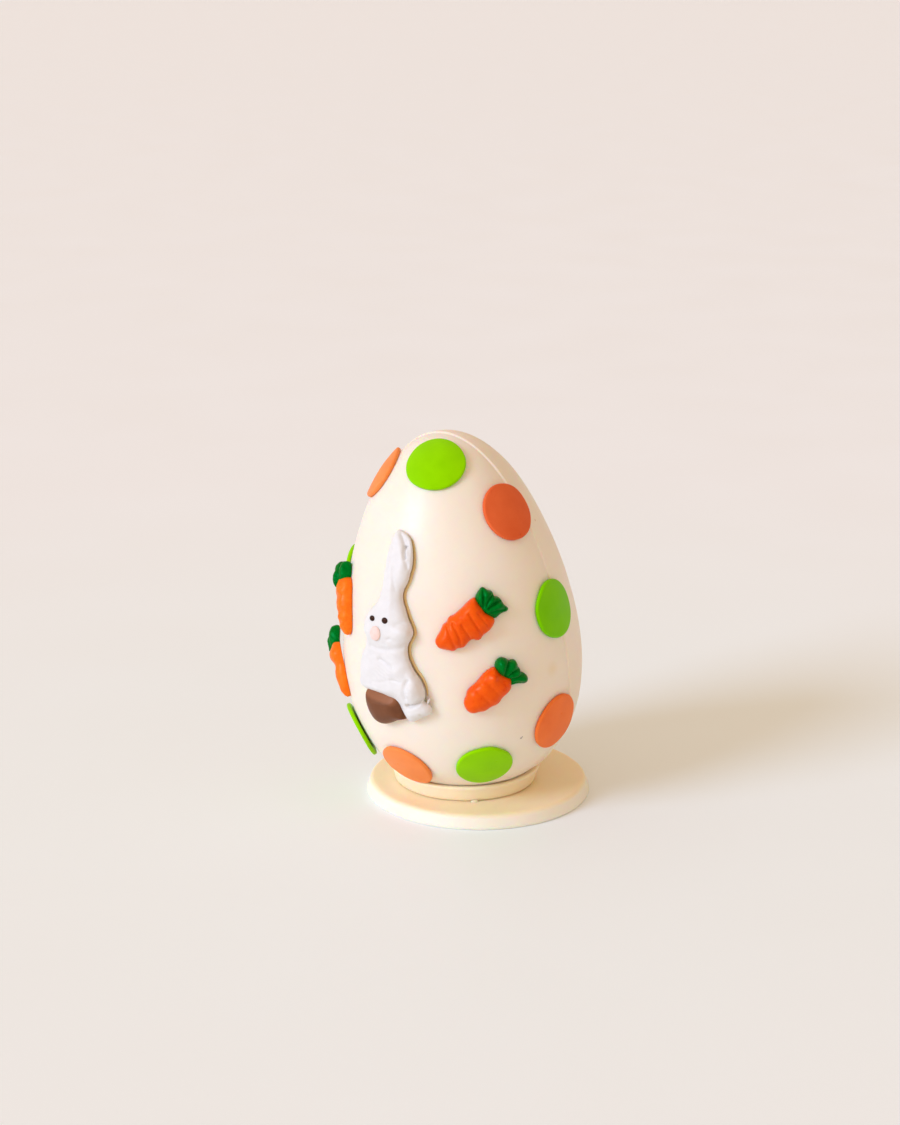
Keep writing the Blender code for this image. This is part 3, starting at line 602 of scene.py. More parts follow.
def cream_material(name, low, high, marks, painted_warm_shade_above):
    """White chocolate: pale cream with faint blotches, a satin skin, a few marks, and perhaps a top painted
    golden as warm shade.
    """
    made, tree, shader, vector = shader_of(name)
    colour = ramp(tree, noise_node(tree, vector, 22.0, 3.0, 0.5), low, high)
    if painted_warm_shade_above:
        # Painted warm shade: the base's top turns golden, as light bounced between egg and base would make it
        height = added(tree, "SeparateXYZ", {0: vector}).outputs["Z"]
        turns = [painted_warm_shade_above - below for below in PAINTED_WARM_SHADE_TURNS]
        colour = mixed(tree, mapped(tree, height, 0.0, 1.0, *turns), colour, PAINTED_WARM_SHADE_COLOUR)
    for latitude, bearing, radius, soft, strength, mark in marks:
        place = in_row_frame(shell_points(math.radians(latitude), math.radians(bearing), 0.0))[0]
        cover = spot(tree, vector, place, radius * MM, soft * MM)
        colour = mixed(tree, mapped(tree, cover, 0.0, strength, 0.0, 1.0), colour, mark)
    gloss = noise_node(tree, vector, 60.0, 3.0, 0.6)
    ripple = noise_node(tree, vector, 48.0, 2.0, 0.45)
    skin = noise_node(tree, vector, 900.0, 3.0, 0.6)
    feed(tree, shader, {
        "Base Color": colour,
        "Roughness": mapped(tree, gloss, 0.36, 0.50),
        "Normal": bumped(tree, skin, *CREAM_BUMPS[1], bumped(tree, ripple, *CREAM_BUMPS[0])),
        **translucent(0.6, (1.0, 0.42, 0.18), CREAM_DEPTH),
    })
    return made


def make_materials():
    """Each material and its slot, by a short name."""
    made = {}
    for colour, look in CREAMS.items():
        marks = SHELL_MARKS if colour == "cream" else ()
        painted_warm_shade_above = BASE_HEIGHT if colour == "base" else None
        made[colour] = cream_material(*look, marks, painted_warm_shade_above), "white_chocolate"
    for colour, (name, slot, *look) in PASTES.items():
        marks = ()
        if colour == "milk":
            # Painted highlight: a paler sheen on the lap egg's cut face where it faces the light
            places = laid_on_shell(np.array(LAP_PAINTED_SHEEN) * MM, *RABBIT_PLACE)
            marks = [(place, *LAP_PAINTED_SHEEN_MARK) for place in places]
        made[colour] = paste_material(name, marks, *look), slot
    return made


# Meshes


def mesh_from(name, points, faces):
    """A smooth-shaded mesh from points and faces, with its faces turned outward."""
    mesh = bpy.data.meshes.new(name)
    mesh.from_pydata([tuple(p) for p in points], [], faces)
    shape = bmesh.new()
    shape.from_mesh(mesh)
    bmesh.ops.recalc_face_normals(shape, faces=shape.faces)
    shape.to_mesh(mesh)
    shape.free()
    mesh.shade_smooth()
    return mesh


def placed(name, data):
    """A new object in the scene."""
    obj = bpy.data.objects.new(name, data)
    bpy.context.scene.collection.objects.link(obj)
    return obj


def piece(name, points, faces, colour, node=None):
    """A piece of the object in the part's frame, which rides on the root and may stand for a node."""
    material, slot = MATERIALS[colour]
    mesh = mesh_from(name, points, faces)
    mesh.materials.append(material)
    obj = placed(name, mesh)
    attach(obj, "root")
    if node:
        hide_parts(node)
    return obj


def arrays_of(obj):
    """Points and faces of an object as its modifiers leave it."""
    evaluated = obj.evaluated_get(bpy.context.evaluated_depsgraph_get())
    mesh = evaluated.to_mesh()
    points = np.array([v.co for v in mesh.vertices])
    faces = [tuple(p.vertices) for p in mesh.polygons]
    evaluated.to_mesh_clear()
    return points, faces


def lumps(points, size, height, seed):
    """A soft random height at each point, for hand-made unevenness."""
    offset = Vector((seed * 7.3, seed * 3.1, seed * 5.7))
    return height * np.array([noise.noise(Vector(p) / size + offset) for p in points])


def ring_faces(rings, count):
    """Faces over rings of this many points, which come after one end point and before the other."""
    starts = [1 + k * count for k in range(rings)]
    faces = []
    for i in range(count):
        j = (i + 1) % count
        faces.append((0, 1 + i, 1 + j))
        faces += [(low + i, low + count + i, low + count + j, low + j) for low in starts[:-1]]
        faces.append((starts[-1] + i, starts[-1] + count, starts[-1] + j))
    return faces


def turned(outline, segments):
    """Points and faces of an outline of (radius, height) turned about Z, which goes up from axis to axis."""
    turns = np.arange(segments) * 2 * math.pi / segments
    points = [(0.0, 0.0, outline[0][1])]
    for radius, height in outline[1:-1]:
        points += [(radius * math.sin(t), -radius * math.cos(t), height) for t in turns]
    points.append((0.0, 0.0, outline[-1][1]))
    faces = [(face[0], *face[:0:-1]) for face in ring_faces(len(outline) - 2, segments)]
    return np.array(points), faces


def rounded(radius, height, edge, steps=8):
    """The upper edge of a turned piece, as (radius, height) pairs on a quarter circle."""
    angles = [math.pi / 2 * k / steps for k in range(steps + 1)]
    return [(radius - edge + edge * math.cos(a), height - edge + edge * math.sin(a)) for a in angles]


# The egg's shell


def girth(latitude):
    """The egg's radius at a latitude in radians."""
    s = np.sin(latitude)
    return EGG_WIDTH / 2 * np.cos(latitude) * (1 + EGG_TAPER * s + EGG_FULLNESS * s * s)


def outward(latitude):
    """The two parts of the egg's outward normal at a latitude: away from its axis, and up it."""
    s, c = np.sin(latitude), np.cos(latitude)
    swell = 1 + EGG_TAPER * s + EGG_FULLNESS * s * s
    run = EGG_WIDTH / 2 * (-s * swell + c * (EGG_TAPER + 2 * EGG_FULLNESS * s) * c)
    rise = EGG_LENGTH / 2 * c
    length = np.hypot(run, rise)
    return rise / length, -run / length


def shell_points(latitude, bearing, lift):
    """Points at these latitudes and bearings, lifted along the shell's normal, in the egg's own frame."""
    away, up = outward(latitude)
    radius = girth(latitude) + lift * away
    height = EGG_LENGTH / 2 * np.sin(latitude) + lift * up
    return np.stack([radius * np.sin(bearing), -radius * np.cos(bearing), height], -1)


# The distance along the outline, from the foot up, at each of many latitudes
LATITUDES = np.radians(np.linspace(-89.9, 89.9, 1799))
STEPS = np.hypot(np.diff(girth(LATITUDES)), np.diff(EGG_LENGTH / 2 * np.sin(LATITUDES)))
ALONG = np.concatenate([[0], np.cumsum(STEPS)])


def nearest_latitude(radius, height):
    """The latitude of the shell point nearest to each (radius, height), by sliding along the outline."""
    latitude = np.arctan2(height / EGG_LENGTH, radius / EGG_WIDTH)
    for _ in range(12):
        away, up = outward(latitude)
        off_radius = radius - girth(latitude)
        off_height = height - EGG_LENGTH / 2 * np.sin(latitude)
        along = -up * off_radius + away * off_height
        latitude = np.clip(latitude + along / (EGG_LENGTH / 2), -math.pi / 2, math.pi / 2)
    return latitude


def lean():
    """The egg's rotation: over its side first, and then forward."""
    return Matrix.Rotation(EGG_LEAN_FRONT, 3, "X") @ Matrix.Rotation(EGG_LEAN_SIDE, 3, "Y")


def in_row_frame(points):
    """Points of the egg's own frame in the part's frame."""
    return np.atleast_2d(points) @ np.array(lean()).T + np.array(EGG_MIDDLE)


def laid_on_shell(points, latitude_deg, bearing_deg, turn_deg=0.0):
    """Flat points (east, north, out) turned in their own plane, then laid over the shell round a place."""
    turn = math.radians(turn_deg)
    east = points[:, 0] * math.cos(turn) - points[:, 1] * math.sin(turn)
    north = points[:, 0] * math.sin(turn) + points[:, 1] * math.cos(turn)
    start = np.interp(math.radians(latitude_deg), LATITUDES, ALONG)
    latitude = np.interp(start + north, ALONG, LATITUDES)
    bearing = np.full(len(points), math.radians(bearing_deg))
    under = shell_points(latitude, bearing, 0.0)
    under += east[:, None] * np.stack([np.cos(bearing), np.sin(bearing), 0 * bearing], -1)
    latitude = nearest_latitude(np.hypot(under[:, 0], under[:, 1]), under[:, 2])
    bearing = np.arctan2(under[:, 0], -under[:, 1])
    return in_row_frame(shell_points(latitude, bearing, points[:, 2]))


def seam_lift(across):
    """How far the shell stands off at a distance behind the seam: a dip, a step, and then a fading lip."""
    side = np.clip(across / SEAM_STEP_WIDTH + 0.5, 0, 1)
    step = side * side * (3 - 2 * side)
    dip = -SEAM_DIP * np.exp(-np.abs(across) / SEAM_DIP_WIDTH)
    lip = SEAM_LIP * np.exp(-np.abs(across) / SEAM_LIP_WIDTH)
    return dip + step * (lip - dip)


def row_angles():
    """Angles from the seam to the last row, whose steps are fine at first and then grow."""
    angles, step = [0.0], ROW_STEP
    while angles[-1] + step < ROW_END:
        angles.append(angles[-1] + step)
        if angles[-1] > ROW_FINE:
            step = min(step * ROW_GROWTH, ROW_LARGEST)
    return angles


def cut_edges(shape, level):
    """Cuts away what is below a level, and gives the edges of the cut."""
    everything = shape.verts[:] + shape.edges[:] + shape.faces[:]
    plane = {"plane_co": (0, 0, level), "plane_no": (0, 0, 1)}
    cut = bmesh.ops.bisect_plane(shape, geom=everything, clear_inner=True, **plane)
    return [e for e in cut["geom_cut"] if isinstance(e, bmesh.types.BMEdge)]


def egg_mesh(lift, foot_level, columns, with_seam):
    """The egg in rows on either side of the seam, cut flat at a level, in the part's frame."""
    half = row_angles()
    rows = [-a for a in reversed(half[1:])] + half
    turns = np.arange(columns) * 2 * math.pi / columns
    row, turn = np.meshgrid(np.array(rows), turns, indexing="ij")
    ball = np.stack([np.cos(row) * np.sin(turn), np.sin(row), np.cos(row) * np.cos(turn)], -1)
    ball = np.concatenate([[(0, -1, 0)], ball.reshape(-1, 3), [(0, 1, 0)]])
    latitude = np.arcsin(np.clip(ball[:, 2], -1, 1)) * 0.99999
    bearing = np.arctan2(ball[:, 0], -ball[:, 1])
    raised = np.full(len(ball), lift)
    if with_seam:
        flat = shell_points(latitude, bearing, 0.0)
        raised += seam_lift(flat[:, 1]) + lumps(flat, *SHELL_LUMPS)
    points = in_row_frame(shell_points(latitude, bearing, raised))
    mesh = mesh_from("egg_shape", points, ring_faces(len(rows), columns))
    shape = bmesh.new()
    shape.from_mesh(mesh)
    bmesh.ops.contextual_create(shape, geom=cut_edges(shape, foot_level))
    shape.to_mesh(mesh)
    shape.free()
    points = np.array([v.co for v in mesh.vertices])
    return points, [tuple(p.vertices) for p in mesh.polygons]


# The pieces


def make_base():
    """The round base, a little uneven on top and round its rim."""
    inner = BASE_RADIUS - BASE_DRAFT - BASE_EDGE
    outline = [(0.0, 0.0)] + [(BASE_RADIUS + out * MM, height * MM) for out, height in BASE_FOOT]
    outline += rounded(BASE_RADIUS - BASE_DRAFT, BASE_HEIGHT, BASE_EDGE)
    outline += [(inner * (1 - k / BASE_RINGS), BASE_HEIGHT) for k in range(1, BASE_RINGS)]
    outline.append((0.0, BASE_HEIGHT))
    points, faces = turned(outline, ROUND_SEGMENTS)
    top = points[:, 2] > 0.3 * BASE_HEIGHT
    points[:, 2] -= np.where(top, np.abs(lumps(points, *BASE_TOP_LUMPS)), 0.0)
    points[:, :2] *= (1 + lumps(points, *BASE_RIM_LUMPS))[:, None]
    return piece("base_disc", points, faces, "base", "base")


def make_seat():
    """The slab under the egg, dished to its shape by a cut."""
    outline = [(0.0, 0.0), (SEAT_RADIUS - 0.6 * MM, 0.0), (SEAT_RADIUS, 0.5 * MM)]
    outline += [(SEAT_RADIUS + SEAT_FLARE * s, SEAT_HEIGHT * s) for s in (0.2, 0.4, 0.6, 0.75)]
    outline += rounded(SEAT_RADIUS + SEAT_FLARE, SEAT_HEIGHT, SEAT_EDGE)
    outline.append((0.0, SEAT_HEIGHT))
    points, faces = turned(outline, ROUND_SEGMENTS)
    points[:, :2] *= (1 + lumps(points, *SEAT_RIM_LUMPS))[:, None]
    points += np.array(SEAT_CENTRE) + np.array([0, 0, BASE_HEIGHT + GAP])
    slab = placed("slab", mesh_from("slab", points, faces))
    dish_level = BASE_HEIGHT + GAP + SEAT_FLOOR
    dish = placed("dish", mesh_from("dish", *egg_mesh(GAP, dish_level, DISH_COLUMNS, False)))
    step = slab.modifiers.new("dish", "BOOLEAN")
    step.operation = "DIFFERENCE"
    step.object = dish
    step.solver = "EXACT"
    points, faces = arrays_of(slab)
    for obj in (slab, dish):
        bpy.data.objects.remove(obj)
    seat = piece("seat_ring", points, faces, "seat", "seat")
    seat.data.set_sharp_from_angle(angle=math.radians(50))
    return seat


def make_seat_glue():
    """A small blob of melted chocolate at the foot of the seat."""
    bearing, half_width, half_length, half_height = SEAT_BLOB
    away = SEAT_RADIUS + 0.4 * MM
    place = SEAT_CENTRE + Vector((math.sin(bearing) * away, -math.cos(bearing) * away, BASE_HEIGHT))
    values = (0.0, 0.0, 0.0, half_width, half_length, half_height, math.degrees(bearing))
    points, faces = form(values, 24, 12)
    return piece("seat_glue_blob", points + np.array(place), faces, "base")


def make_egg():
    return piece("egg_shell", *egg_mesh(0.0, FOOT_LEVEL, EGG_COLUMNS, True), "cream", "egg")


def disc_edge_factor(name, angle):
    """How much of its full radius a disc has in each direction, where it was cut a little flat."""
    radius_mm = DISCS[name][2]
    factor = np.ones_like(angle)
    for towards, depth, width in DISC_FLATS.get(name, ()):
        off = (np.degrees(angle) - towards + 180) % 360 - 180
        factor -= depth / radius_mm * np.exp(-((off / width) ** 2))
    return factor


def make_disc(name):
    """A sugar paste disc with a soft edge, a slightly uneven face and small bubbles."""
    latitude, bearing, radius_mm, rim_mm, colour = DISCS[name]
    radius = radius_mm * MM
    top = GAP + DISC_THICKNESS
    outline = [(0.0, GAP), (radius * 0.5, GAP), (radius - 0.4 * MM, GAP), (radius, GAP + 0.3 * MM)]
    outline += rounded(radius, top, DISC_EDGE)
    face = radius - DISC_EDGE
    outline += [(face * (1 - k / DISC_RINGS), top) for k in range(1, DISC_RINGS)] + [(0.0, top)]
    points, faces = turned(outline, DISC_SEGMENTS)
    seed = list(DISCS).index(name)
    angle = np.arctan2(points[:, 1], points[:, 0])
    far = np.hypot(points[:, 0], points[:, 1]) / radius
    upper = np.clip((points[:, 2] - GAP) / DISC_THICKNESS, 0, 1)
    points[:, 2] += upper * (lumps(points, *DISC_FACE_LUMPS, seed) + DISC_CROWN * (1 - far**2))
    for east, north, pit in DISC_PITS.get(name, ()):
        off = np.hypot(points[:, 0] - east * MM, points[:, 1] - north * MM) / (pit * MM)
        ring = PIT_RING * np.exp(-((off - PIT_RING_AT) ** 2) / PIT_RING_WIDTH)
        points[:, 2] += upper * pit * MM * (ring - PIT_DEPTH * np.exp(-(off**2)))
    factor = disc_edge_factor(name, angle) + lumps(points, *DISC_RIM_LUMPS, seed + DISC_RIM_SEED)
    points[:, :2] *= (1 + (factor - 1) * np.clip(far, 0, 1))[:, None]
    points[:, 2] += rim_mm * MM * far**2
    return piece(f"{name}_paste", laid_on_shell(points, latitude, bearing), faces, colour, name)


def carrot_place(name):
    """The neck's latitude and bearing, and the carrot's length and heading from neck to tip."""
    neck_latitude, neck_bearing, tip_latitude, tip_bearing = LEFT_CARROTS[name][:4]
    along = np.interp(np.radians([neck_latitude, tip_latitude]), LATITUDES, ALONG)
    north = along[1] - along[0]
    middle = math.radians((neck_latitude + tip_latitude) / 2)
    east = math.radians(tip_bearing - neck_bearing) * girth(middle)
    return neck_latitude, neck_bearing, math.hypot(east, north), math.degrees(math.atan2(north, east))


def furrow_depth(name, s):
    """How deep the furrows are at a place s along a root, as a share of its height."""
    depth = 0.0
    for place, deep, width in FURROWS[name]:
        off = (s - place) / width
        depth += deep * (math.exp(-off * off) - 0.45 * math.exp(-((abs(off) - 1.9) ** 2)))
    return depth


def neck_lift(name, along):
    """How far the upper end of a left-hand carrot is lifted, at places along it from its neck."""
    return NECK_OFF[name] * np.clip((14 * MM - along) / (16 * MM), 0, 1)


def make_left_root(name):
    """A tapered root with a rounded tip and furrows, flat underneath."""
    latitude, bearing, length, heading = carrot_place(name)
    half_width, height = LEFT_CARROTS[name][4] * MM / 2, LEFT_CARROTS[name][5] * MM
    angles = [math.pi * k / ROOT_COLUMNS for k in range(ROOT_COLUMNS + 1)]
    under = [1 - 2 * k / 8 for k in range(1, 8)]
    points = [(0.0, 0.0, GAP + 0.3 * height)]
    for k in range(ROOT_ROWS):
        s = k / ROOT_ROWS
        ends = (1 - abs(2 * (CARROT_NECK + (1 - CARROT_NECK) * s) - 1) ** CARROT_ENDS) ** 0.5
        size = ends * (1 - CARROT_TAPER[0] * s ** CARROT_TAPER[1])
        dent = 1 - furrow_depth(name, s)
        across = half_width * size * (1 + 0.45 * (dent - 1))
        rise = height * size**0.7 * dent
        points += [(s * length, across * math.cos(a), GAP + rise * math.sin(a) ** 0.8) for a in angles]
        points += [(s * length, -half_width * size * u, GAP) for u in under]
    points.append((length, 0.0, GAP + 0.3 * height))
    faces = ring_faces(ROOT_ROWS, len(angles) + len(under))
    points = np.array(points)
    shown = np.clip((points[:, 2] - GAP) / (0.3 * height), 0, 1)
    seed = list(LEFT_CARROTS).index(name) + ROOT_SEED
    points[:, 2] += shown * lumps(points, ROOT_LUMP_SIZES[0], ROOT_LUMPS[name] * MM, seed)
    points[:, 1] += shown * lumps(points, ROOT_LUMP_SIZES[1], ROOT_LUMPS[name] * MM, seed + 1)
    points[:, 2] += neck_lift(name, points[:, 0])
    points = laid_on_shell(points, latitude, bearing, heading)
    # These roots take the lit copy of the carrot icing, painted lighter for the light that falls on them
    return piece(f"{name}_icing", points, faces, "carrot_lit", f"{name}_root")


def form(values, segments=36, rows=20):
    """Points and faces of one rounded form in the flat: an ellipsoid turned about the outward direction."""
    east, north, out, half_width, half_length, half_height, turn = values
    climb = [-math.pi / 2 + math.pi * k / rows for k in range(rows + 1)]
    outline = [(math.cos(a), math.sin(a)) for a in climb]
    points, faces = turned(outline, segments)
    points *= np.array([half_width, half_length, half_height]) * MM
    c, s = math.cos(math.radians(turn)), math.sin(math.radians(turn))
    points = points @ np.array([[c, s, 0], [-s, c, 0], [0, 0, 1]])
    return points + np.array([east, north, out]) * MM, faces


def fused(name, forms, voxel, smoothing):
    """Forms joined into one closed skin with soft valleys between them, and a flat underside at the gap."""
    shape = bmesh.new()
    for points, faces in forms:
        verts = [shape.verts.new(p) for p in points]
        for face in faces:
            shape.faces.new([verts[i] for i in face])
    bmesh.ops.edgeloop_fill(shape, edges=cut_edges(shape, 0.0))
    bmesh.ops.recalc_face_normals(shape, faces=shape.faces)
    mesh = bpy.data.meshes.new(name)
    shape.to_mesh(mesh)
    shape.free()
    obj = placed(name, mesh)
    remesh = obj.modifiers.new("fuse", "REMESH")
    remesh.mode = "VOXEL"
    remesh.voxel_size = voxel
    soften = obj.modifiers.new("soften", "SMOOTH")
    soften.factor = 0.5
    soften.iterations = smoothing
    points, faces = arrays_of(obj)
    bpy.data.objects.remove(obj)
    points[:, 2] += GAP - points[:, 2].min()
    return points, faces


def make_left_leaves(name):
    """A fan of piped leaf lobes that start at the carrot's neck."""
    latitude, bearing, _, heading = carrot_place(name)
    forms = []
    for start, angle, reach, half_width, tall in LEAF_LOBES[name]:
        heading_out = math.radians(angle)
        middle = reach / 2 - LEAF_ROOT
        east = -math.cos(heading_out) * middle
        north = -math.sin(heading_out) * middle + start
        half_length = reach / 2 + LEAF_ROOT
        forms.append(form((east, north, 0.3 * tall, half_length, half_width, 0.7 * tall, angle)))
    points, faces = fused(f"{name}_fan", forms, LEAF_VOXEL, 4)
    outermost = -points[:, 0].min()
    points[:, 2] = GAP + (points[:, 2] - GAP) * (1 + LEAF_RISE * np.clip(-points[:, 0] / outermost, 0, 1))
    seed = list(LEFT_CARROTS).index(name) + LEAF_SEED
    for axis in (0, 1):
        points[:, axis] += lumps(points, *LEAF_LUMPS, seed + axis)
    points[:, 2] += neck_lift(name, points[:, 0])
    points = laid_on_shell(points, latitude, bearing, heading)
    return piece(f"{name}_fan", points, faces, "leaf", f"{name}_leaves")


def curve_through(corners, steps, closed):
    """Points in metres along a smooth curve through corners given in millimetres."""
    corners = np.array(corners, float) * MM
    ends = corners[[-1]], corners[:2]
    if not closed:
        ends = corners[[0]], corners[[-1, -1]]
    held = np.concatenate([ends[0], corners, ends[1]])
    t = np.arange(steps)[:, None] / steps
    curve = []
    for k in range(len(corners) if closed else len(corners) - 1):
        p, q, r, u = held[k:k + 4]
        bend, twist = 2 * p - 5 * q + 4 * r - u, 3 * q - p - 3 * r + u
        curve.append(q + 0.5 * ((r - p) * t + bend * t**2 + twist * t**3))
    curve.append(corners[[0 if closed else -1]])
    return np.concatenate(curve)


def off_line(flat, line):
    """How far each flat point is from a line, and the nearest place on the line."""
    far = np.full(len(flat), np.inf)
    nearest = np.zeros((len(flat), 2))
    for start, end in zip(line[:-1], line[1:]):
        run = end - start
        share = np.clip((flat - start) @ run / (run @ run), 0, 1)
        place = start + share[:, None] * run
        off = np.hypot(*(flat - place).T)
        closer = off < far
        far[closer] = off[closer]
        nearest[closer] = place[closer]
    return far, nearest


def inside_of(flat, outline):
    """Which flat points are inside a closed outline, by how often a line east from each crosses it."""
    inside = np.zeros(len(flat), bool)
    for start, end in zip(outline[:-1], outline[1:]):
        rise = end[1] - start[1]
        if rise:
            spans = (start[1] > flat[:, 1]) != (end[1] > flat[:, 1])
            crossing = start[0] + (flat[:, 1] - start[1]) / rise * (end[0] - start[0])
            inside ^= spans & (flat[:, 0] < crossing)
    return inside


def edge_profile(off, thickness, edge, wall):
    """Height at a distance in from an outline: an upright wall, then a rounded edge up to the thickness."""
    share = np.clip(off / edge, 0, 1)
    return wall + (thickness - wall) * np.sqrt(1 - (1 - share) ** 2)


def averaged(values, edges):
    """The average over each point's neighbours, as the edges join them."""
    total, number = np.zeros_like(values), np.zeros(len(values))
    for one, other in ((0, 1), (1, 0)):
        np.add.at(total, edges[:, one], values[edges[:, other]])
        np.add.at(number, edges[:, one], 1)
    return total / number[:, None]


def relief(corners, height_at):
    """A modelled relief over an outline in the flat: its face, a low wall and a flat underside."""
    outline = curve_through(corners, 6, True)
    low, high = outline.min(0) - RELIEF_STEP, outline.max(0) + 2 * RELIEF_STEP
    east, north = np.arange(low[0], high[0], RELIEF_STEP), np.arange(low[1], high[1], RELIEF_STEP)
    flat = np.stack(np.meshgrid(east, north, indexing="ij"), -1).reshape(-1, 2)
    off, nearest = off_line(flat, outline)
    off[~inside_of(flat, outline)] *= -1
    rows = len(north)
    first = (np.arange(len(east) - 1)[:, None] * rows + np.arange(rows - 1)).ravel()
    cells = np.stack([first, first + rows, first + rows + 1, first + 1], 1)
    cells = cells[off[cells].mean(1) > 0]
    used, cells = np.unique(cells, return_inverse=True)
    cells = cells.reshape(-1, 4)
    flat, nearest = flat[used], nearest[used]
    edges = np.concatenate([cells[:, [k, (k + 1) % 4]] for k in range(4)])
    keys, counts = np.unique(np.sort(edges, 1), axis=0, return_counts=True)
    rim_edges = {tuple(edge) for edge in keys[counts == 1]}
    rim = np.unique(keys[counts == 1])
    flat[rim] = nearest[rim]
    inner = np.ones(len(flat), bool)
    inner[rim] = False
    for _ in range(4):
        middle = averaged(flat, keys)
        flat[inner] = middle[inner]
    off, _ = off_line(flat, outline)
    off[rim] = 0.0
    for _ in range(RELIEF_SOFTENING):
        off[inner] = averaged(off[:, None], keys)[inner, 0]
    under = flat.copy()
    inward = middle[rim] - flat[rim]
    under[rim] += inward / (np.hypot(*inward.T)[:, None] + 1e-9) * RELIEF_UNDERCUT
    top = np.column_stack([flat, GAP + height_at(flat, off)])
    bottom = np.column_stack([under, np.full(len(flat), GAP)])
    count = len(flat)
    faces = [tuple(cell) for cell in cells.tolist()]
    faces += [tuple(count + i for i in reversed(cell)) for cell in cells.tolist()]
    for start, end in edges.tolist():
        if (min(start, end), max(start, end)) in rim_edges:
            faces.append((end, start, count + start, count + end))
    return np.concatenate([top, bottom]), faces


def mounds_at(flat, mounds):
    """How far soft mounds and hollows raise a relief at flat points."""
    height = np.zeros(len(flat))
    for east, north, half_width, half_length, turn, rise in mounds:
        c, s = math.cos(math.radians(turn)), math.sin(math.radians(turn))
        away = flat - np.array([east, north]) * MM
        u = (away[:, 0] * c + away[:, 1] * s) / (half_width * MM)
        v = (away[:, 1] * c - away[:, 0] * s) / (half_length * MM)
        height += rise * MM * np.exp(-(u * u + v * v))
    return height


def creases_at(flat, creases):
    """How deep creases are pressed into a relief at flat points."""
    depth = np.zeros(len(flat))
    for deep, width, places in creases:
        far, _ = off_line(flat, curve_through(places, 6, False))
        depth += deep * MM * np.exp(-((far / (width * MM)) ** 2))
    return depth


def rabbit_height(flat, off):
    """The rabbit's height at flat points that are this far in from its outline."""
    at = np.array(RABBIT_THICKNESS).T * MM
    thickness, edge = np.interp(flat[:, 1], at[0], at[1]), np.interp(flat[:, 1], at[0], at[2])
    edge *= 1 + RABBIT_RIGHT_ROUNDING * np.clip(flat[:, 0] / (5 * MM), 0, 1)
    height = edge_profile(off, thickness, edge, RABBIT_WALL * MM)
    level = np.column_stack([flat, 0 * off])
    worked = mounds_at(flat, RABBIT_MOUNDS) - RABBIT_PRESSED * creases_at(flat, RABBIT_CREASES)
    worked += lumps(level, *RABBIT_LUMPS[0]) + lumps(level, *RABBIT_LUMPS[1])
    return np.maximum(height + np.clip(off / (1.5 * MM), 0, 1) * worked, 0.8 * MM)


def icing_relief(outline, profile, mounds, creases, unevenness, seed):
    """A piped piece over an outline in the flat, with soft mounds, pressed creases and some unevenness."""
    wall, thickness, edge = (value * MM for value in profile)

    def height_at(flat, off):
        level = np.column_stack([flat, 0 * off])
        worked = mounds_at(flat, mounds) - creases_at(flat, creases)
        worked += lumps(level, RIGHT_LUMP, unevenness * MM, seed) + lumps(level, *RIGHT_GRAIN, seed + 1)
        height = edge_profile(off, thickness, edge, wall) + np.clip(off / (1.2 * MM), 0, 1) * worked
        return np.maximum(height, 0.6 * MM)

    return relief(outline, height_at)


def make_right_carrot(name):
    """A carrot's furrowed root and its scalloped, ridged leaves, which start at its neck."""
    latitude, bearing = RIGHT_CARROTS[name]
    seed = list(RIGHT_CARROTS).index(name) * 4 + RIGHT_SEED
    root = ("icing", "root", "carrot", ROOT_OUTLINES, ROOT_PROFILE, ROOT_MOUNDS, ROOT_CREASES)
    leaves = ("fan", "leaves", "leaf", LEAF_OUTLINES, LEAF_PROFILE, LEAF_MOUNDS, LEAF_CREASES)
    for k, (end, node, colour, outlines, profile, mounds, creases) in enumerate((root, leaves)):
        forms = outlines[name], profile, mounds[name], creases[name]
        points, faces = icing_relief(*forms, RIGHT_UNEVENNESS[k], seed + 2 * k)
        piece(f"{name}_{end}", laid_on_shell(points, latitude, bearing), faces, colour, f"{name}_{node}")


def stood_off(points):
    """Points of the rabbit, with its right side standing off the shell."""
    start, width, most = (value * MM for value in RABBIT_OFF)
    rise = most * np.clip((points[:, 0] - start) / width, 0, 1) ** 2
    return points + np.column_stack([RABBIT_OFF_SHIFT * rise, 0 * rise, rise])


def make_rabbit():
    """The sitting rabbit, modelled in low relief."""
    points, faces = relief(RABBIT_OUTLINE, rabbit_height)
    spur, spur_faces = form(RABBIT_SPUR, 16, 8)
    faces = faces + [tuple(i + len(points) for i in face) for face in spur_faces]
    points = stood_off(np.concatenate([points, spur]))
    return piece("rabbit_icing", laid_on_shell(points, *RABBIT_PLACE), faces, "white", "rabbit")


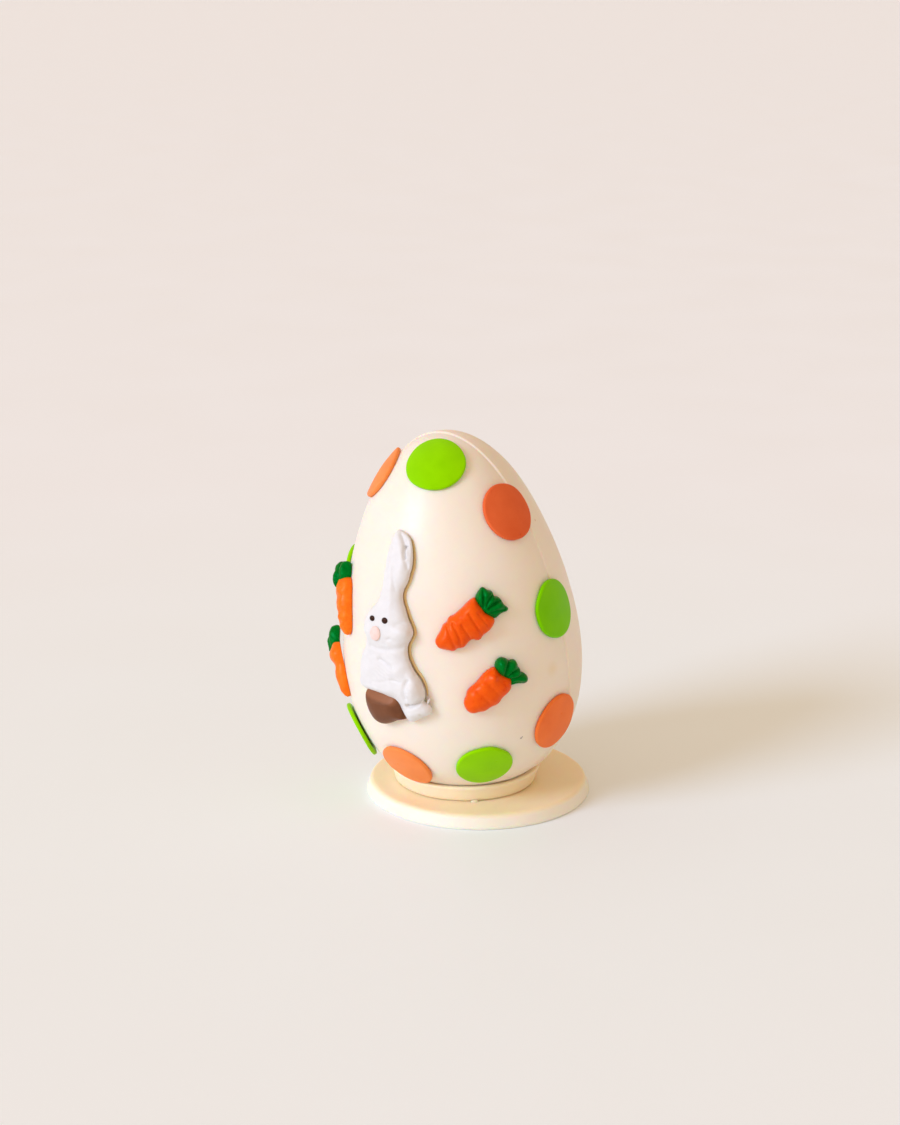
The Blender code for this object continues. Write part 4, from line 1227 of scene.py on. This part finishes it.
def make_shadow_line():
    """A thin golden line of painted shadow beside the rabbit's right edge, tapered at both ends."""
    line = curve_through(SHADOW_LINE, 6, False)
    run = np.gradient(line, axis=0)
    across = np.column_stack([run[:, 1], -run[:, 0]]) / np.hypot(*run.T)[:, None]
    along = np.linspace(-1, 1, len(line))
    width = SHADOW_LINE_WIDTH * (1 - along**8) ** 0.5 + lumps(np.column_stack([line, along]), *SHADOW_LINE_LUMPS)
    width = np.maximum(width, 0.08 * MM)
    points = []
    for k in range(SHADOW_LINE_SIDES):
        angle = 2 * math.pi * k / SHADOW_LINE_SIDES
        flat = line + across * (width * math.cos(angle))[:, None]
        points.append(np.column_stack([flat, np.maximum(0.6 * width * math.sin(angle), -GAP)]))
    points = np.stack(points, 1).reshape(-1, 3)
    faces = [tuple(range(SHADOW_LINE_SIDES)), tuple(len(points) - 1 - k for k in range(SHADOW_LINE_SIDES))]
    for start in range(0, len(points) - SHADOW_LINE_SIDES, SHADOW_LINE_SIDES):
        for k in range(SHADOW_LINE_SIDES):
            near, far = start + k, start + (k + 1) % SHADOW_LINE_SIDES
            faces.append((near, far, far + SHADOW_LINE_SIDES, near + SHADOW_LINE_SIDES))
    return piece("rabbit_painted_shadow_line", laid_on_shell(points, *RABBIT_PLACE), faces, "golden")


def lap_egg_height(flat, off):
    """The half egg's height: a dome with a flat band cut along its upper side, and a low stub."""
    wall, thickness, edge = (value * MM for value in LAP_PROFILE)
    height = edge_profile(off, thickness, edge, wall)
    start, level, slope = LAP_BAND
    height = np.minimum(height, level * MM - slope * np.maximum(flat[:, 1] - start * MM, -9 * MM))
    east, north, radius, stub = LAP_STUB
    near = np.exp(-((np.hypot(flat[:, 0] - east * MM, flat[:, 1] - north * MM) / (radius * MM)) ** 4))
    return height + near * (np.minimum(height, stub * MM) - height)


def make_lap_egg():
    points, faces = relief(LAP_OUTLINE, lap_egg_height)
    points = laid_on_shell(points, *RABBIT_PLACE)
    return piece("rabbit_lap_egg_chocolate", points, faces, "milk", "rabbit_lap_egg")


def make_bead(node, values, colour):
    """The nose or an eye: a small flattened bead pressed into the rabbit's face."""
    east, north, half_width, half_length, half_height = values
    place = np.array([[east, north]]) * MM
    off, _ = off_line(place, curve_through(RABBIT_OUTLINE, 6, True))
    out = (GAP + rabbit_height(place, off)[0]) / MM
    points, faces = form((east, north, out, half_width, half_length, half_height, 0), 40, 20)
    return piece(f"{node}_bead", laid_on_shell(stood_off(points), *RABBIT_PLACE), faces, colour, node)


# Floor, lights and camera


def make_floor():
    """A wide pale floor, a little warmer away from the object."""
    made, tree, shader, vector = shader_of("pale_floor")
    distance = added(tree, "VectorMath", {0: vector})
    distance.operation = "LENGTH"
    far = mapped(tree, distance.outputs["Value"], 0.0, 1.0, *FLOOR_TURNS)
    feed(tree, shader, {
        "Base Color": mixed(tree, far, FLOOR_NEAR, FLOOR_FAR),
        "Roughness": mapped(tree, noise_node(tree, vector, 8.0), 0.5, 0.65),
    })
    mesh = bpy.data.meshes.new("floor")
    corners = [(x * FLOOR_REACH, y * FLOOR_REACH, 0) for x, y in ((-1, -1), (1, -1), (1, 1), (-1, 1))]
    mesh.from_pydata(corners, [], [(0, 1, 2, 3)])
    mesh.materials.append(made)
    placed("floor", mesh)


def view_directions():
    """Where the camera looks, and its right and up, in the part's frame."""
    forward = Vector((0, math.cos(CAMERA_PITCH), -math.sin(CAMERA_PITCH)))
    right = Vector((1, 0, 0))
    turn = Matrix.Rotation(CAMERA_AZIMUTH, 3, "Z")
    return turn @ forward, turn @ right, turn @ right.cross(forward)


def make_camera():
    """The camera of the photograph, with the egg's middle where the picture has it."""
    forward, right, up = view_directions()
    off_right = (EGG_AT[0] - PICTURE_MIDDLE[0]) / FOCAL_PIXELS
    off_up = (PICTURE_MIDDLE[1] - EGG_AT[1]) / FOCAL_PIXELS
    data = bpy.data.cameras.new("camera")
    data.sensor_width = SENSOR_WIDTH
    data.lens = FOCAL_PIXELS / PICTURE_HEIGHT * SENSOR_WIDTH
    data.clip_start = 0.05
    camera = placed("camera", data)
    rows = Matrix((right, up, -forward)).transposed().to_4x4()
    rows.translation = EGG_MIDDLE - (forward + off_right * right + off_up * up) * CAMERA_DISTANCE
    camera.matrix_world = rows
    bpy.context.scene.camera = camera


def direction_of(parts):
    """The direction whose parts to the right, up and towards the camera are given."""
    _, right, _ = view_directions()
    upward = Vector((0, 0, 1))
    return (right * parts[0] + upward * parts[1] + right.cross(upward) * parts[2]).normalized()


def make_lights():
    """Soft low daylight from the left in a bright, slightly warm room."""
    data = bpy.data.lights.new("key", "SUN")
    data.angle = KEY_ANGLE
    data.energy = KEY_STRENGTH
    data.color = KEY_COLOUR
    placed("key", data).rotation_euler = (-direction_of(KEY_TOWARDS)).to_track_quat("-Z", "Y").to_euler()
    world = bpy.data.worlds.new("pale_room")
    world.use_nodes = True
    tree = world.node_tree
    towards = added(tree, "TexCoord", {}).outputs["Generated"]
    facing = added(tree, "VectorMath", {0: towards, 1: direction_of(ROOM_TOWARDS)})
    facing.operation = "DOT_PRODUCT"
    share = mapped(tree, facing.outputs["Value"], 0.0, 1.0, -1.0, 1.0)
    feed(tree, tree.nodes["Background"], {"Color": mixed(tree, share, ROOM_DIM, ROOM_BRIGHT)})
    bpy.context.scene.world = world


MATERIALS = make_materials()
make_base()
make_seat()
make_seat_glue()
make_egg()
for disc_name in DISCS:
    make_disc(disc_name)
for carrot_name in LEFT_CARROTS:
    make_left_root(carrot_name)
    make_left_leaves(carrot_name)
for carrot_name in RIGHT_CARROTS:
    make_right_carrot(carrot_name)
make_rabbit()
make_shadow_line()
make_lap_egg()
make_bead("rabbit_nose", NOSE, "pink")
for eye_name, eye_values in EYES.items():
    make_bead(eye_name, eye_values, "dark")
make_floor()
make_camera()
make_lights()
bpy.context.scene.view_settings.view_transform = "Standard"
